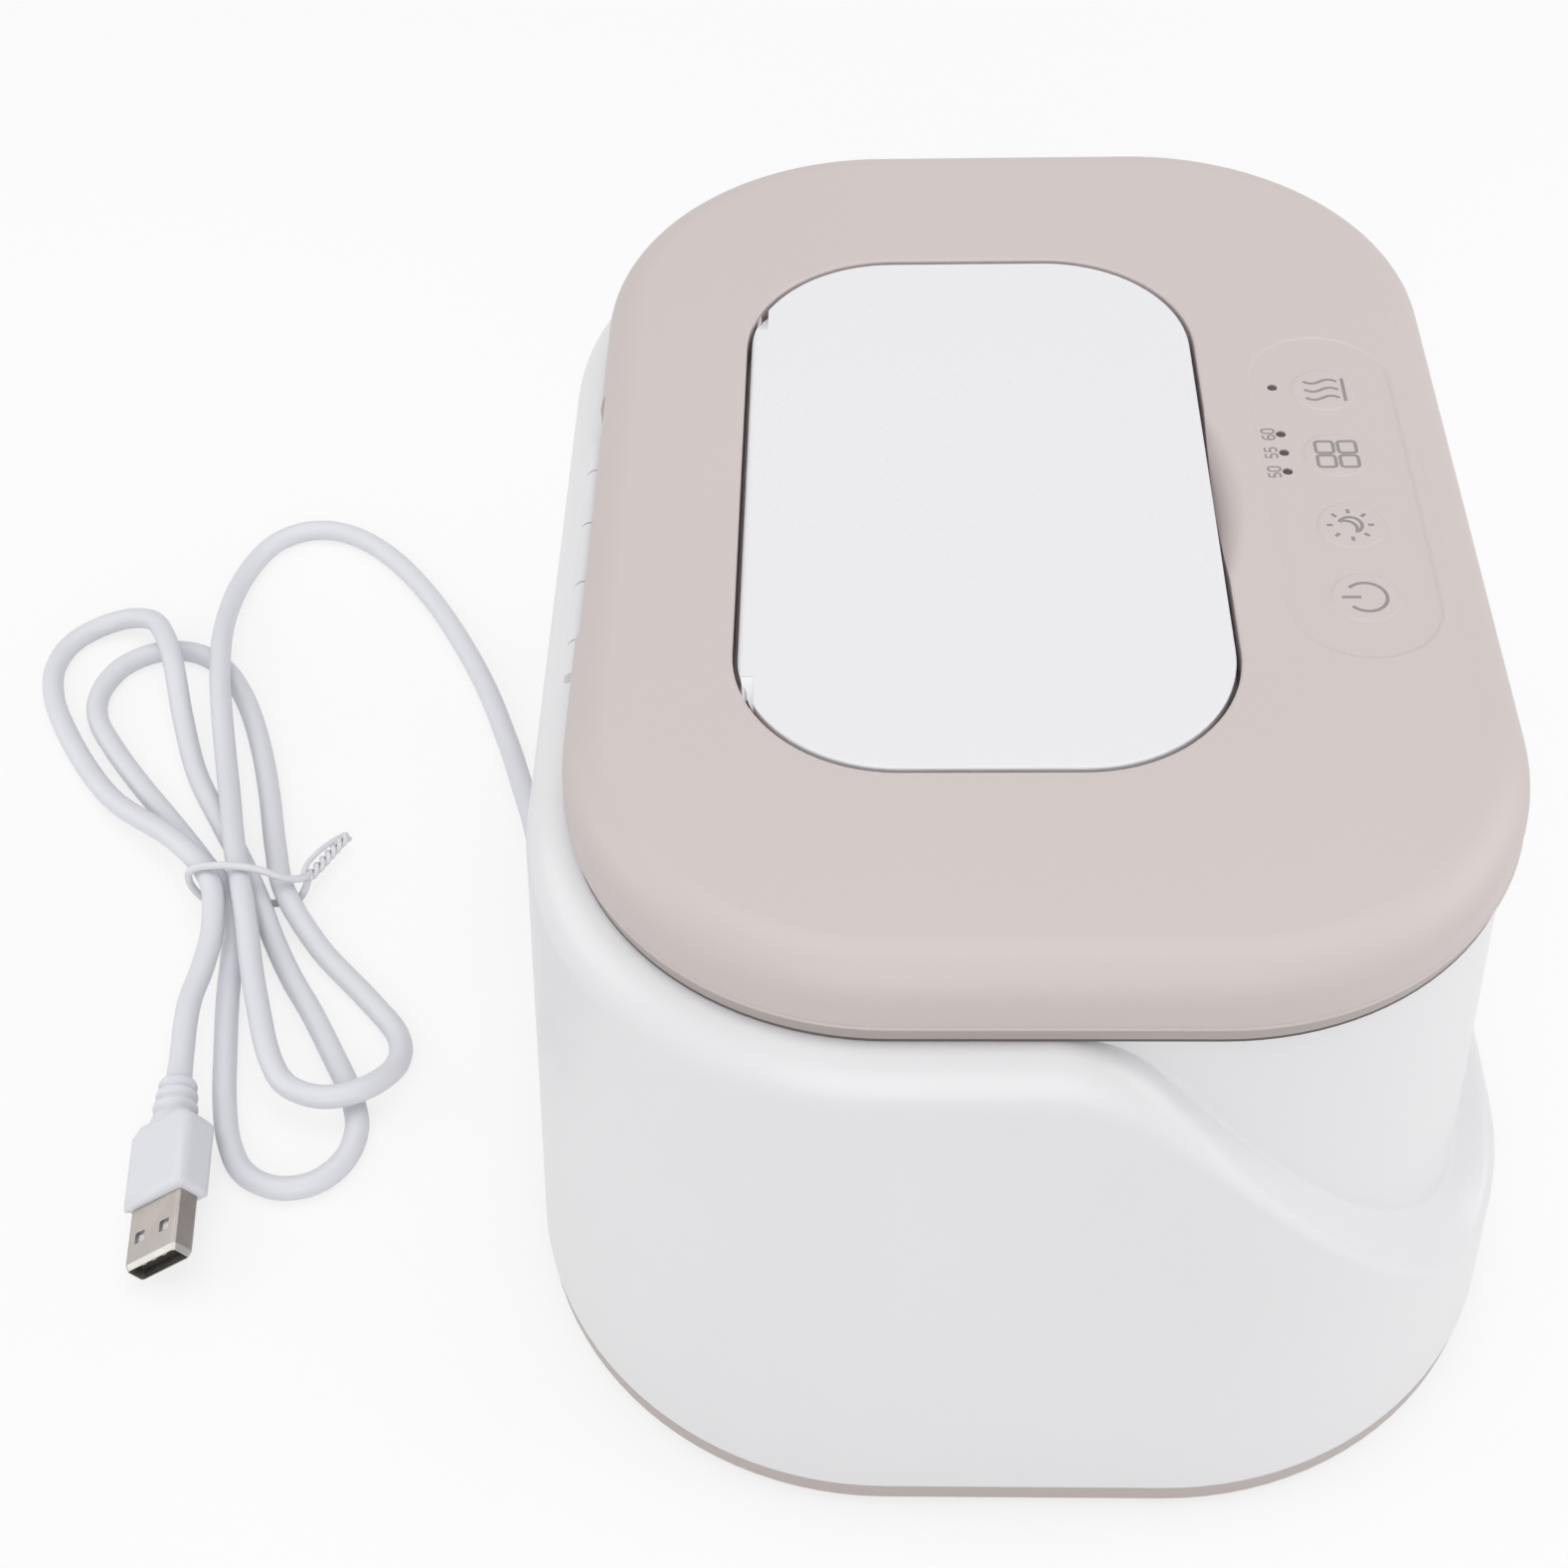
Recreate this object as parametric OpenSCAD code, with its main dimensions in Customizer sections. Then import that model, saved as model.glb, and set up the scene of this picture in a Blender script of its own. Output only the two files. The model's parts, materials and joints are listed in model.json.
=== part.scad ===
// Baby wipe warmer: a drafted oval body with a hinged lid, a dispensing flap in the lid,
// a heated tub inside and a five-volt lead. Millimetres, +Z up, long axis along X, the
// user's side (controls, front recess) towards -Y, the hinges and the lead towards +Y.

/* [Lid] */
// Length of the lid, end to end
lid_len = 190; // [184:1:200]
// Width of the lid, front to back
lid_wid = 136; // [132:1:144]
// Corner radius of the lid seen from above
corner_r = 46; // [44:1:50]
// Height of the lid's visible side, underside to crown
lid_h = 12; // [11.5:0.5:14]
// Radius between the lid's side and its top
lid_fillet = 7; // [5:0.5:7.5]
// Wall of the lid cover
lid_wall = 2.4; // [2:0.1:2.6]

/* [Body] */
// Height of the body's rim
rim_z = 107; // [104:1:116]
// How far the foot of the wall stands outside the lid's outline
foot_spread = 13.2; // [12.8:0.1:14]
// Draft of the walls, from vertical
wall_draft = 3.8; // [3.6:0.1:4]
// Radius of the shoulder round the lid
shoulder_r = 8.4; // [7:0.2:9]
// Wall of the body shell
shell_wall = 2.5; // [2:0.1:2.8]
// Depth that the front face is set back by
recess_step = 7.5; // [7:0.1:8]
// Height of the level ledge under the front recess
ledge_z = 31; // [28:1:36]
// Slope of the ledge where it climbs the ends
ledge_slope = 51; // [48:0.5:53]

/* [Base] */
// Thickness of the rubber feet below the base
foot_h = 1.5; // [1.2:0.1:2.2]
// Height of the tinted base ring that shows
ring_h = 4.5; // [4:0.5:6]
// Thickness of the base floor
base_floor = 2; // [1.8:0.1:2.4]
// Diameter of a rubber foot
foot_d = 12; // [10:1:14]
// Shank diameter of the base screws
screw_d = 3; // [2.6:0.1:3.4]

/* [Tub] */
// Height of the tub's floor above the table
tub_floor_z = 31.6; // [30:0.5:38]
// Wall of the tub
tub_wall = 1.6; // [1.4:0.1:2]
// Width of the tub's flange
flange_w = 4; // [3.4:0.1:4.2]
// Draft of the tub's walls
tub_draft = 2; // [1.5:0.1:2.5]

/* [Flap] */
// Length of the flap
flap_len = 117; // [110:1:119]
// Width of the flap
flap_wid = 71.6; // [70:0.4:73.6]
// Corner radius of the flap
flap_r = 23; // [21:1:25]
// Thickness of the flap
flap_t = 2.4; // [2.2:0.1:2.6]
// Distance from the lid's middle back to the flap's middle
flap_shift = 7.5; // [6.5:0.5:8]
// Gap between the flap and the lid
flap_gap = 0.7; // [0.6:0.1:0.9]
// Radius of the flap's rounded hinge edge
flap_roll = 1.1; // [1:0.05:1.2]

/* [Hinges] */
// Outer radius of the lid hinge's knuckles
knuckle_r = 2.6; // [2.5:0.1:2.8]
// Diameter of the lid hinge's pin
pin_d = 3; // [2.8:0.1:3]
// Half length of the hinge relief in the lid's back edge
hinge_half = 27; // [25:0.5:30]
// Running clearance between a pin and its bore
pin_clear = 0.05; // [0.03:0.01:0.08]
// Diameter of the flap's hinge pins
flap_pin_d = 1; // [0.8:0.1:1.2]

/* [Controls] */
// Length of the touch panel
panel_len = 75; // [72:1:78]
// Width of the touch panel
panel_wid = 23; // [22:0.5:24]
// Spacing of the four touch pads
pad_pitch = 16.2; // [15.8:0.1:16.6]
// Diameter of a touch pad
pad_d = 9; // [8:0.5:10]
// Diameter of an indicator hole
led_d = 1.6; // [1.4:0.1:1.8]

/* [Cord] */
// Diameter of the cord
cord_d = 4.4; // [4:0.1:4.6]
// Width of the plug's metal shell
plug_w = 12; // [11.8:0.1:12.2]
// Thickness of the plug's metal shell
plug_t = 4.5; // [4.4:0.1:4.6]
// Exposed length of the plug's metal shell
plug_len = 12; // [11.8:0.1:12.6]

/* [Hidden] */
$fn = 64;

eps = 0.01;
seam = 0.3;                        // gap between pieces that close on each other
cx = lid_len / 2 - corner_r;       // centres of the corner arcs, the same at every height
cy = lid_wid / 2 - corner_r;
lid_z = rim_z + 2;                 // underside of the lid cover
top_z = lid_z + lid_h;
base_z = foot_h;
wall_z = foot_h + ring_h;          // where the white wall starts

// Radius round the corner centres of the outer wall and of the set-back front wall
function outer_r(z) = corner_r + foot_spread - z * tan(wall_draft);
function inner_r(z) = outer_r(z) - recess_step;
function arc(c, r, from, to, n) =
    [for (i = [0:n]) c + r * [cos(from + (to - from) * i / n), sin(from + (to - from) * i / n)]];

// ---------- outlines and sweeps ----------

// Rounded rectangle round the corner centres, r outside them
module outline(r) {
    square([2 * cx, 2 * (cy + r)], center = true);
    square([2 * (cx + r), 2 * cy], center = true);
    for (sx = [-1, 1], sy = [-1, 1]) translate([sx * cx, sy * cy]) circle(r);
}

// Rounded rectangle of its own length, width and corner radius
module rounded(len, wid, r) {
    square([len - 2 * r, wid], center = true);
    square([len, wid - 2 * r], center = true);
    for (sx = [-1, 1], sy = [-1, 1]) translate([sx * (len / 2 - r), sy * (wid / 2 - r)]) circle(r);
}

// A section (distance outside the corner centres, height) carried round the outline
module around() {
    for (sx = [0, 1], sy = [0, 1])
        mirror([sx, 0, 0]) mirror([0, sy, 0])
            translate([cx, cy, 0]) rotate_extrude(angle = 90) children();
    for (sy = [0, 1]) mirror([0, sy, 0])
        translate([-cx, cy, 0]) rotate([90, 0, 90]) linear_extrude(2 * cx) children();
    for (sx = [0, 1]) mirror([sx, 0, 0])
        translate([cx, cy, 0]) rotate([90, 0, 0]) linear_extrude(2 * cy) children();
}

// The same, filled in the middle from z0 to z1
module around_solid(z0, z1) {
    around() children();
    translate([-cx, -cy, z0]) cube([2 * cx, 2 * cy, z1 - z0]);
}

// A slab of the outline
module slab(r, z0, z1) translate([0, 0, z0]) linear_extrude(z1 - z0) outline(r);

// A cylinder along X from x0 to x1 about the line (y, z)
module rod_x(r, x0, x1, y, z) translate([x0, y, z]) rotate([0, 90, 0]) cylinder(h = x1 - x0, r = r);

// ---------- body ----------

// Section of the outer wall with its shoulder, drawn in by o
module outer_section(o, z0) {
    rc = outer_r(rim_z - shoulder_r) - shoulder_r / cos(wall_draft);
    polygon(concat([[0, z0], [outer_r(z0) - o, z0]],
        arc([rc, rim_z - shoulder_r], shoulder_r - o, wall_draft, 90, 8),
        [[0, rim_z - o]]));
}

module inner_section(o, z0, z1)
    polygon([[0, z0], [inner_r(z0) - o, z0], [inner_r(z1) - o, z1], [0, z1]]);

// What the front recess takes out of the outer wall: the ledge is level across the front and
// climbs both ends in a long slope, rounded where it starts and where it meets the rim
sweep_r = 20;
sweep_y = 1.2;
foot_r = 8;
over = 20;                         // how far a cut runs past what it cuts
module recess_cut(o) {
    a = ledge_slope;
    top = arc([sweep_y, rim_z - sweep_r], sweep_r, 90, 90 + a, 6);
    drop = [-sin(a), cos(a)] * sweep_r + [sweep_y, rim_z - sweep_r];
    run = (drop[1] - ledge_z - foot_r * (1 - cos(a))) / tan(a);
    foot_c = [drop[0] - run - foot_r * sin(a), ledge_z + foot_r];
    bottom = arc(foot_c, foot_r, -90 + a, -90, 6);
    translate([-lid_len, 0, -o]) rotate([90, 0, 90]) linear_extrude(2 * lid_len)
        polygon(concat([[sweep_y, rim_z + over]], top, bottom,
            [[-lid_wid, ledge_z], [-lid_wid, rim_z + over]]));
}

// Outside of the body drawn in by o, from z0 up to z1
module body_form(o, z0, z1) {
    difference() {
        around_solid(z0, rim_z - o) outer_section(o, z0);
        recess_cut(o);
        if (z1 < rim_z - o) translate([-lid_len, -lid_wid, z1]) cube([2 * lid_len, 2 * lid_wid, rim_z]);
    }
    around_solid(z0, z1) inner_section(o, z0, z1);
}

flange_t = 2;
flange_top = rim_z - 2 * seam;
flange_z = flange_top - flange_t;
seat_t = 2;                                 // shell under the tub's flange
rim_t = 3.5;                                // rim left outside the tub's flange
tub_r = inner_r(rim_z) - rim_t - flange_w;  // outside of the tub under its flange
tub_hole_r = tub_r + 2 * seam;
flange_r = tub_r + flange_w;
post_z = 10;                                // where base posts meet shell posts
post_r = 4.5;
post_top = ledge_z - shell_wall + eps;
post_bore = 13;
thread_r = screw_d / 2 - 0.2;               // bore that a screw cuts its thread in
post_reach = outer_r(post_top) - shell_wall - post_r + 2;
post_x = cx + post_reach * cos(45);
post_y = cy + post_reach * sin(45);

hinge_y = lid_wid / 2 + 0.5;
hinge_z = rim_z - 0.5;
gap_x = 0.3;                                // end play between knuckles
knuckle_x = [hinge_half - 7, hinge_half / 4];   // outer and middle shell knuckles start and end

gland_x = 8;
gland_z = 12.5;
gland_in = 5.57;
gland_y = cy + outer_r(gland_z) - gland_in; // face that the cord leaves, set into the wall
gland_t = 3;                                // block that the gland passes through
gland_r = 3.6;
gland_head_r = 5;
gland_block = 16;
relief_out = 1.5;                           // length of the sleeve round the cord outside the gland
light_z = 50;
light_w = 12;
light_len = 64;
light_t = 1.2;
light_y = -(cy + inner_r(light_z + light_w) - shell_wall - 3.4);
rail_w = 4;
rail_cover = 1;                             // how far a rail reaches past the board's end

module at_posts() for (sx = [-1, 1], sy = [-1, 1]) translate([sx * post_x, sy * post_y, 0]) children();

module shell_knuckles(r) {
    rod_x(r, -knuckle_x[1], knuckle_x[1], hinge_y, hinge_z);
    for (s = [0, 1]) mirror([s, 0, 0]) rod_x(r, knuckle_x[0], hinge_half, hinge_y, hinge_z);
}

module lid_knuckles(r, grow = 0)
    for (s = [0, 1]) mirror([s, 0, 0])
        rod_x(r, knuckle_x[1] + gap_x - grow, knuckle_x[0] - gap_x + grow, hinge_y, hinge_z);

module outer_shell() color([0.93, 0.93, 0.94]) {
    difference() {
        union() {
            body_form(0, wall_z, rim_z);
            shell_knuckles(knuckle_r);
        }
        difference() {
            body_form(shell_wall, wall_z - 1, flange_z - seat_t);
            // screw posts
            at_posts() translate([0, 0, post_z]) cylinder(h = post_top - post_z, r = post_r);
            // pocket that carries the gland
            translate([gland_x - gland_block / 2, gland_y - gland_t, wall_z - 2])
                cube([gland_block, over, gland_z - wall_z + gland_block / 2 + 2]);
            // rails of the night light
            for (s = [-1, 1]) translate([s * (light_len / 2 + rail_cover) - rail_w / 2, light_y - over,
                                         light_z - rail_w / 2])
                cube([rail_w, over + 2, light_w + rail_w]);
        }
        // way for the tub and seat of its flange
        slab(tub_hole_r, wall_z, rim_z + 1);
        slab(flange_r + seam, flange_z, rim_z + 1);
        at_posts() translate([0, 0, post_z - 1]) cylinder(h = post_bore, r = thread_r);
        // bore and pocket of the gland
        translate([gland_x, gland_y, gland_z]) rotate([-90, 0, 0]) {
            translate([0, 0, -gland_t - 1]) cylinder(h = over, r = gland_r);
            cylinder(h = over, r = gland_head_r + 0.4);
        }
        // slots for the night light's board, open at the top
        translate([-light_len / 2 - 0.2, light_y - 0.1, light_z])
            cube([light_len + 0.4, light_t + 0.2, light_w + over]);
        // knuckle pockets and pin bore
        lid_knuckles(knuckle_r + 0.4, gap_x);
        rod_x(pin_d / 2 + pin_clear, -hinge_half - 1, hinge_half + 1, hinge_y, hinge_z);
    }
}

// ---------- base ----------

ring_inset = 0.3;
ring_r = outer_r(wall_z) - ring_inset;
ring_chamfer = 0.8;
lip_r = outer_r(wall_z) - shell_wall - 0.8;
lip_t = 1.8;
lip_h = 3;
foot_x = post_x - 16;
foot_y = post_y - 12;
foot_sink = 1.2;
head_z = base_z + base_floor + 1;  // top of a base screw's head
slot_w = 3;
slot_len = 26;
slot_pitch = 9;
board_len = 70;
board_wid = 44;
board_t = 1.6;
board_z = 10;
board_hole = 3.5;                   // from a board edge to its screw

module at_feet() for (sx = [-1, 1], sy = [-1, 1]) translate([sx * foot_x, sy * foot_y, 0]) children();

module at_board_screws()
    for (sx = [-1, 1], sy = [-1, 1])
        translate([sx * (board_len / 2 - board_hole), sy * (board_wid / 2 - board_hole), 0]) children();

module base_plate() color([0.76, 0.71, 0.70]) {
    difference() {
        union() {
            around_solid(base_z, base_z + base_floor)
                polygon([[0, base_z], [ring_r - ring_chamfer, base_z], [ring_r, base_z + ring_chamfer],
                         [ring_r, wall_z], [lip_r, wall_z], [lip_r, wall_z + lip_h],
                         [lip_r - lip_t, wall_z + lip_h], [lip_r - lip_t, base_z + base_floor],
                         [0, base_z + base_floor]]);
            intersection() {
                at_posts() translate([0, 0, base_z]) cylinder(h = post_z - base_z, r = post_r + 0.8);
                slab(lip_r, base_z, post_z);
            }
            at_board_screws() translate([0, 0, base_z]) cylinder(h = board_z - base_z, r = 2.8);
        }
        at_posts() {
            translate([0, 0, base_z - 1]) cylinder(h = post_z, r = screw_d / 2 + 0.2);
            translate([0, 0, base_z - 1]) cylinder(h = head_z - base_z + 1, r = screw_d);
        }
        at_board_screws() translate([0, 0, base_z + base_floor]) cylinder(h = board_z, r = 0.9);
        at_feet() translate([0, 0, base_z - 1]) cylinder(h = 1 + foot_sink, r = foot_d / 2 + 0.1);
        // cooling slots under the board
        for (i = [-4:4]) translate([i * slot_pitch, 0, base_z - 1]) linear_extrude(base_floor + 2)
            rounded(slot_w, slot_len, 1.4);
        // the lip stops at the block of the gland
        translate([gland_x - gland_block / 2 - 1, gland_y - gland_t - 2, wall_z])
            cube([gland_block + 2, over, lip_h + 1]);
    }
}

module rubber_feet() color([0.55, 0.53, 0.52])
    at_feet() {
        cylinder(h = 0.6, r1 = foot_d / 2 - 0.6, r2 = foot_d / 2);
        translate([0, 0, 0.6]) cylinder(h = base_z + foot_sink - 0.6, r = foot_d / 2);
    }

// A pan-head screw from its head's seat up
module screw(d, head, len) {
    cylinder(h = len, r = d / 2);
    translate([0, 0, -head]) cylinder(h = head, r = d);
}

module cross_slot(len, wid) {
    square([len, wid], center = true);
    square([wid, len], center = true);
}

module base_screws() color([0.62, 0.63, 0.65])
    at_posts() translate([0, 0, head_z]) difference() {
        screw(2 * (thread_r - eps), 1.8, 14);
        translate([0, 0, -2.8]) linear_extrude(1.8) cross_slot(3, 0.7);
    }

// ---------- tub and heating ----------

tub_out = tub_floor_z - tub_wall;
function tub_outer_r(z) = tub_r - (flange_z - z) * tan(tub_draft);
tub_foot_r = 8;

// Section of the tub with walls moved in by o
module tub_section(o, z1) {
    rc = tub_outer_r(tub_out + tub_foot_r) - tub_foot_r;
    polygon(concat([[0, tub_out + o]], arc([rc, tub_out + tub_foot_r], tub_foot_r - o, -90, 0, 6),
        [[tub_r - o, flange_z], [tub_r - o, z1], [0, z1]]));
}

module inner_tub() color([0.95, 0.95, 0.95])
    difference() {
        union() {
            around_solid(tub_out, flange_top) tub_section(0, flange_top);
            slab(flange_r, flange_z, flange_top);
        }
        around_solid(tub_floor_z, rim_z + 1) tub_section(tub_wall, rim_z + 1);
    }

band_z0 = tub_floor_z + 14;
band_z1 = flange_z - 22;
band_t = 0.8;
band_gap = 12;                      // where the band's ends meet, over the sensor

module heater_band() color([0.80, 0.45, 0.20])
    difference() {
        around() polygon([[tub_outer_r(band_z0), band_z0], [tub_outer_r(band_z0) + band_t, band_z0],
                          [tub_outer_r(band_z1) + band_t, band_z1], [tub_outer_r(band_z1), band_z1]]);
        translate([-band_gap / 2, 0, band_z0 - 1]) cube([band_gap, lid_wid, band_z1]);
    }

plate_t = 1;
plate_r = tub_outer_r(tub_out + tub_foot_r) - tub_foot_r;
module heat_plate() color([0.80, 0.81, 0.83])
    slab(plate_r, tub_out - plate_t, tub_out);

pad_t = 4;
module insulation_pad() color([0.85, 0.83, 0.78])
    slab(plate_r - 1, tub_out - plate_t - pad_t, tub_out - plate_t);

sensor_z = (band_z0 + band_z1) / 2;
module temperature_sensor() color([0.20, 0.20, 0.22])
    difference() {
        translate([-4, cy + tub_r - 3, sensor_z - 5]) cube([8, 6, 10]);
        around_solid(tub_out, flange_top) tub_section(0, flange_top);
    }

// ---------- electronics in the body ----------

module main_board() color([0.10, 0.42, 0.26])
    difference() {
        translate([-board_len / 2, -board_wid / 2, board_z]) cube([board_len, board_wid, board_t]);
        at_board_screws() translate([0, 0, board_z - 1]) cylinder(h = board_t + 2, r = 1.2);
    }

// Chip, two capacitors, a coil, a driver, a fuse and two connectors
module board_parts() color([0.18, 0.18, 0.20])
    translate([0, 0, board_z + board_t]) {
        translate([-6, -6, 0]) cube([12, 12, 1.8]);
        for (x = [14, 23]) translate([x, 8, 0]) cylinder(h = 8, r = 3.2);
        translate([-26, 4, 0]) cube([9, 9, 4.5]);
        translate([12, -12, 0]) cube([7, 6, 2.4]);
        translate([-24, -8, 0]) cube([10, 3.2, 3.2]);
        translate([-12, 12, 0]) cube([12, 6, 6]);
        translate([22, -14, 0]) cube([6, 12, 6]);
    }

module board_screws() color([0.62, 0.63, 0.65])
    at_board_screws() translate([0, 0, board_z + board_t])
        rotate([180, 0, 0]) screw(1.8 - 2 * eps, 1.2, 6);

module night_light_board() color([0.92, 0.92, 0.90])
    translate([-light_len / 2, light_y, light_z]) cube([light_len, light_t, light_w]);

module night_light_leds() color([0.98, 0.92, 0.60])
    for (i = [-2:2]) translate([i * 12 - 1.75, light_y - 0.9, light_z + light_w / 2 - 1.4])
        cube([3.5, 0.9, 2.8]);

module lid_hinge_pin() color([0.75, 0.76, 0.78])
    rod_x(pin_d / 2, -hinge_half + 0.5, hinge_half - 0.5, hinge_y, hinge_z);

module cord_gland() color([0.90, 0.90, 0.92])
    translate([gland_x, gland_y, gland_z]) rotate([90, 0, 0]) difference() {
        union() {
            cylinder(h = gland_t, r = gland_r - 0.05);
            translate([0, 0, gland_t]) cylinder(h = 2, r = gland_head_r);
        }
        // the cord's end is held from inside
        translate([0, 0, 2]) cylinder(h = gland_t + 1, r = cord_d / 2);
    }

// ---------- lid ----------

flap_top = top_z - 0.1;
flap_y = flap_shift;
flap_back = flap_y + flap_wid / 2;
corner_start = flap_len / 2 - flap_r;
axis_y = flap_back - flap_roll;
axis_z = flap_top - flap_roll;
well_z = top_z - 5.7;               // top of the well's floor
well_t = 1.8;
mouth_len = 92;
mouth_wid = 46;
mouth_r = 18;
mouth_y = flap_y - 2;
liner_z = rim_z + seam;
liner_t = lid_z - liner_z;
liner_r = corner_r - 1.5;           // stands in from the lid's edge
seal_r0 = flange_r - 3.4;
seal_r1 = flange_r - 0.6;
seal_sink = 0.8;                    // depth of a seal's groove
seal_z = flange_top + seam;
liner_screw_in = 22;                // from the lid's ends and sides to its screws
head_sink = 0.9;
panel_y = -(lid_wid / 2) + 20;
pad_x0 = 24.3;                      // first pad, from the lid's middle
led_y = panel_y + 7.6;
led_x = [24.5, 12.9, 8.4, 3.9];
scoop_half = 23;
scoop_d = 4.5;
scoop_deep = 4;
relief_y = lid_wid / 2 - 1;         // back face of the lid between the hinge's ends
scoop_r = (scoop_half * scoop_half + scoop_d * scoop_d) / (2 * scoop_d);

// Outlines of the flap and of the mouth, grown all round
module flap_outline(grow)
    translate([0, flap_y]) rounded(flap_len + 2 * grow, flap_wid + 2 * grow, flap_r + grow);
module mouth_outline(grow)
    translate([0, mouth_y]) rounded(mouth_len + 2 * grow, mouth_wid + 2 * grow, mouth_r + grow);

// Section of the lid cover drawn in by o
module lid_section(o, z0) {
    f = lid_fillet;
    polygon(concat([[0, z0], [corner_r - o, z0]],
        arc([corner_r - f, top_z - f], f - o, 0, 90, 8),
        [[0, top_z - o]]));
}

pin_block = 7;                      // blocks beside the flap that hold its pins
pin_block_x = 44;
touch_t = 1.2;
touch_z = top_z - lid_wall - 3.4;
touch_top = touch_z + touch_t;
touch_wid = 20;
touch_len = 70;
touch_y = panel_y + 2;

module lid_cover() color([0.81, 0.77, 0.76])
    difference() {
        around_solid(lid_z, top_z) lid_section(0, lid_z);
        difference() {
            around_solid(lid_z - 1, top_z - lid_wall) lid_section(lid_wall, lid_z - 1);
            // walls and floor of the well under the flap
            translate([0, 0, well_z - well_t]) linear_extrude(lid_h) flap_outline(flap_gap + 2);
            // thicker roof under the finger scoop
            translate([-scoop_half, flap_y - flap_wid / 2 - 7, touch_z]) cube([2 * scoop_half, 7, lid_h]);
            // blocks that hold the flap's pins
            for (s = [0, 1]) mirror([s, 0, 0])
                translate([pin_block_x, axis_y - pin_block / 2, well_z - well_t])
                    cube([pin_block, pin_block, lid_h]);
            // posts for the liner's screws and for the touch board
            at_liner_screws() translate([0, 0, lid_z]) cylinder(h = lid_h, r = 3);
            at_touch_posts() translate([0, 0, touch_top]) cylinder(h = lid_h, r = 2);
        }
        // opening for the flap, way through for the wipes
        translate([0, 0, well_z]) linear_extrude(lid_h) flap_outline(flap_gap);
        translate([0, 0, lid_z - 1]) linear_extrude(lid_h) mouth_outline(0);
        // finger scoop in front of the flap
        intersection() {
            translate([0, flap_y - flap_wid / 2 - scoop_d + scoop_r, top_z - scoop_deep])
                cylinder(h = scoop_deep + eps, r1 = scoop_r - scoop_deep, r2 = scoop_r);
            translate([-flap_len / 2, -lid_wid / 2, top_z - scoop_deep])
                cube([flap_len, lid_wid / 2 + flap_y - flap_wid / 2 + 3, scoop_deep + 1]);
        }
        // shallow recess of the touch panel, round its pads
        translate([0, panel_y, top_z - 0.3]) linear_extrude(1) difference() {
            rounded(panel_len, panel_wid, panel_wid / 2 - 0.2);
            for (i = [0:3]) translate([pad_x0 - i * pad_pitch, 0]) circle(pad_d / 2);
        }
        for (x = led_x) translate([x, led_y, top_z - lid_wall - 1]) cylinder(h = over, r = led_d / 2);
        // bores of the flap's pins
        rod_x(flap_pin_d / 2, -flap_pin_x1, flap_pin_x1, axis_y, axis_z);
        at_liner_screws() translate([0, 0, liner_z]) cylinder(h = 8.5, r = 1);
        // hinge relief in the back edge
        translate([-hinge_half - 0.5, relief_y, lid_z - 1]) cube([2 * hinge_half + 1, over, lid_h + 2]);
    }

module at_liner_screws()
    for (sx = [-1, 1], sy = [-1, 1])
        translate([sx * (lid_len / 2 - liner_screw_in), sy * (lid_wid / 2 - liner_screw_in), 0]) children();

module at_touch_posts()
    for (sx = [-1, 1], sy = [-1, 1]) translate([sx * 31, touch_y + sy * 6.5, 0]) children();

module lid_liner() color([0.70, 0.64, 0.62])
    difference() {
        union() {
            slab(liner_r, liner_z, liner_z + liner_t);
            // throat up to the well
            translate([0, 0, liner_z]) linear_extrude(well_z - well_t - liner_z) mouth_outline(2);
            lid_knuckles(knuckle_r);
            for (s = [0, 1]) mirror([s, 0, 0])
                translate([knuckle_x[1] + gap_x, hinge_y - 5, liner_z])
                    cube([knuckle_x[0] - knuckle_x[1] - 2 * gap_x, 5, liner_t]);
        }
        translate([0, 0, liner_z - 1]) linear_extrude(lid_h) mouth_outline(0);
        // groove of the seal
        translate([0, 0, liner_z - 1]) linear_extrude(1 + seal_sink) difference() {
            outline(seal_r1);
            outline(seal_r0);
        }
        // room for the shell's knuckles
        rod_x(knuckle_r + 0.4, -knuckle_x[1] - gap_x, knuckle_x[1] + gap_x, hinge_y, hinge_z);
        for (s = [0, 1]) mirror([s, 0, 0])
            rod_x(knuckle_r + 0.4, knuckle_x[0] - gap_x, hinge_half + 0.5, hinge_y, hinge_z);
        rod_x(pin_d / 2 + pin_clear, -hinge_half, hinge_half, hinge_y, hinge_z);
        at_liner_screws() {
            translate([0, 0, liner_z - 1]) cylinder(h = 5, r = 1.1);
            translate([0, 0, liner_z - 1]) cylinder(h = 1 + head_sink, r = 2.2);
        }
    }

module lid_seal() color([0.93, 0.93, 0.93])
    translate([0, 0, seal_z]) linear_extrude(liner_z + seal_sink - seal_z) difference() {
        outline(seal_r1);
        outline(seal_r0);
    }

module liner_screws() color([0.62, 0.63, 0.65])
    at_liner_screws() translate([0, 0, liner_z + head_sink]) difference() {
        screw(2 * (1 - eps), head_sink - 0.1, 7);
        translate([0, 0, -head_sink - 0.4]) linear_extrude(0.8) cross_slot(2.2, 0.5);
    }

module touch_board() color([0.12, 0.30, 0.40])
    translate([0, touch_y, touch_z]) linear_extrude(touch_t) rounded(touch_len, touch_wid, 2);

// Sleeves that carry each pad's signal up to the lid's roof
module touch_springs() color([0.80, 0.78, 0.70])
    for (i = [0:3]) translate([pad_x0 - i * pad_pitch, panel_y, touch_top])
        linear_extrude(top_z - lid_wall - touch_top) difference() {
            circle(3);
            circle(2.4);
        }

module indicator_leds() color([0.98, 0.95, 0.85])
    for (x = led_x) translate([x, led_y, touch_top]) cylinder(h = 1.6, r = led_d / 2 + 0.2);

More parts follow.
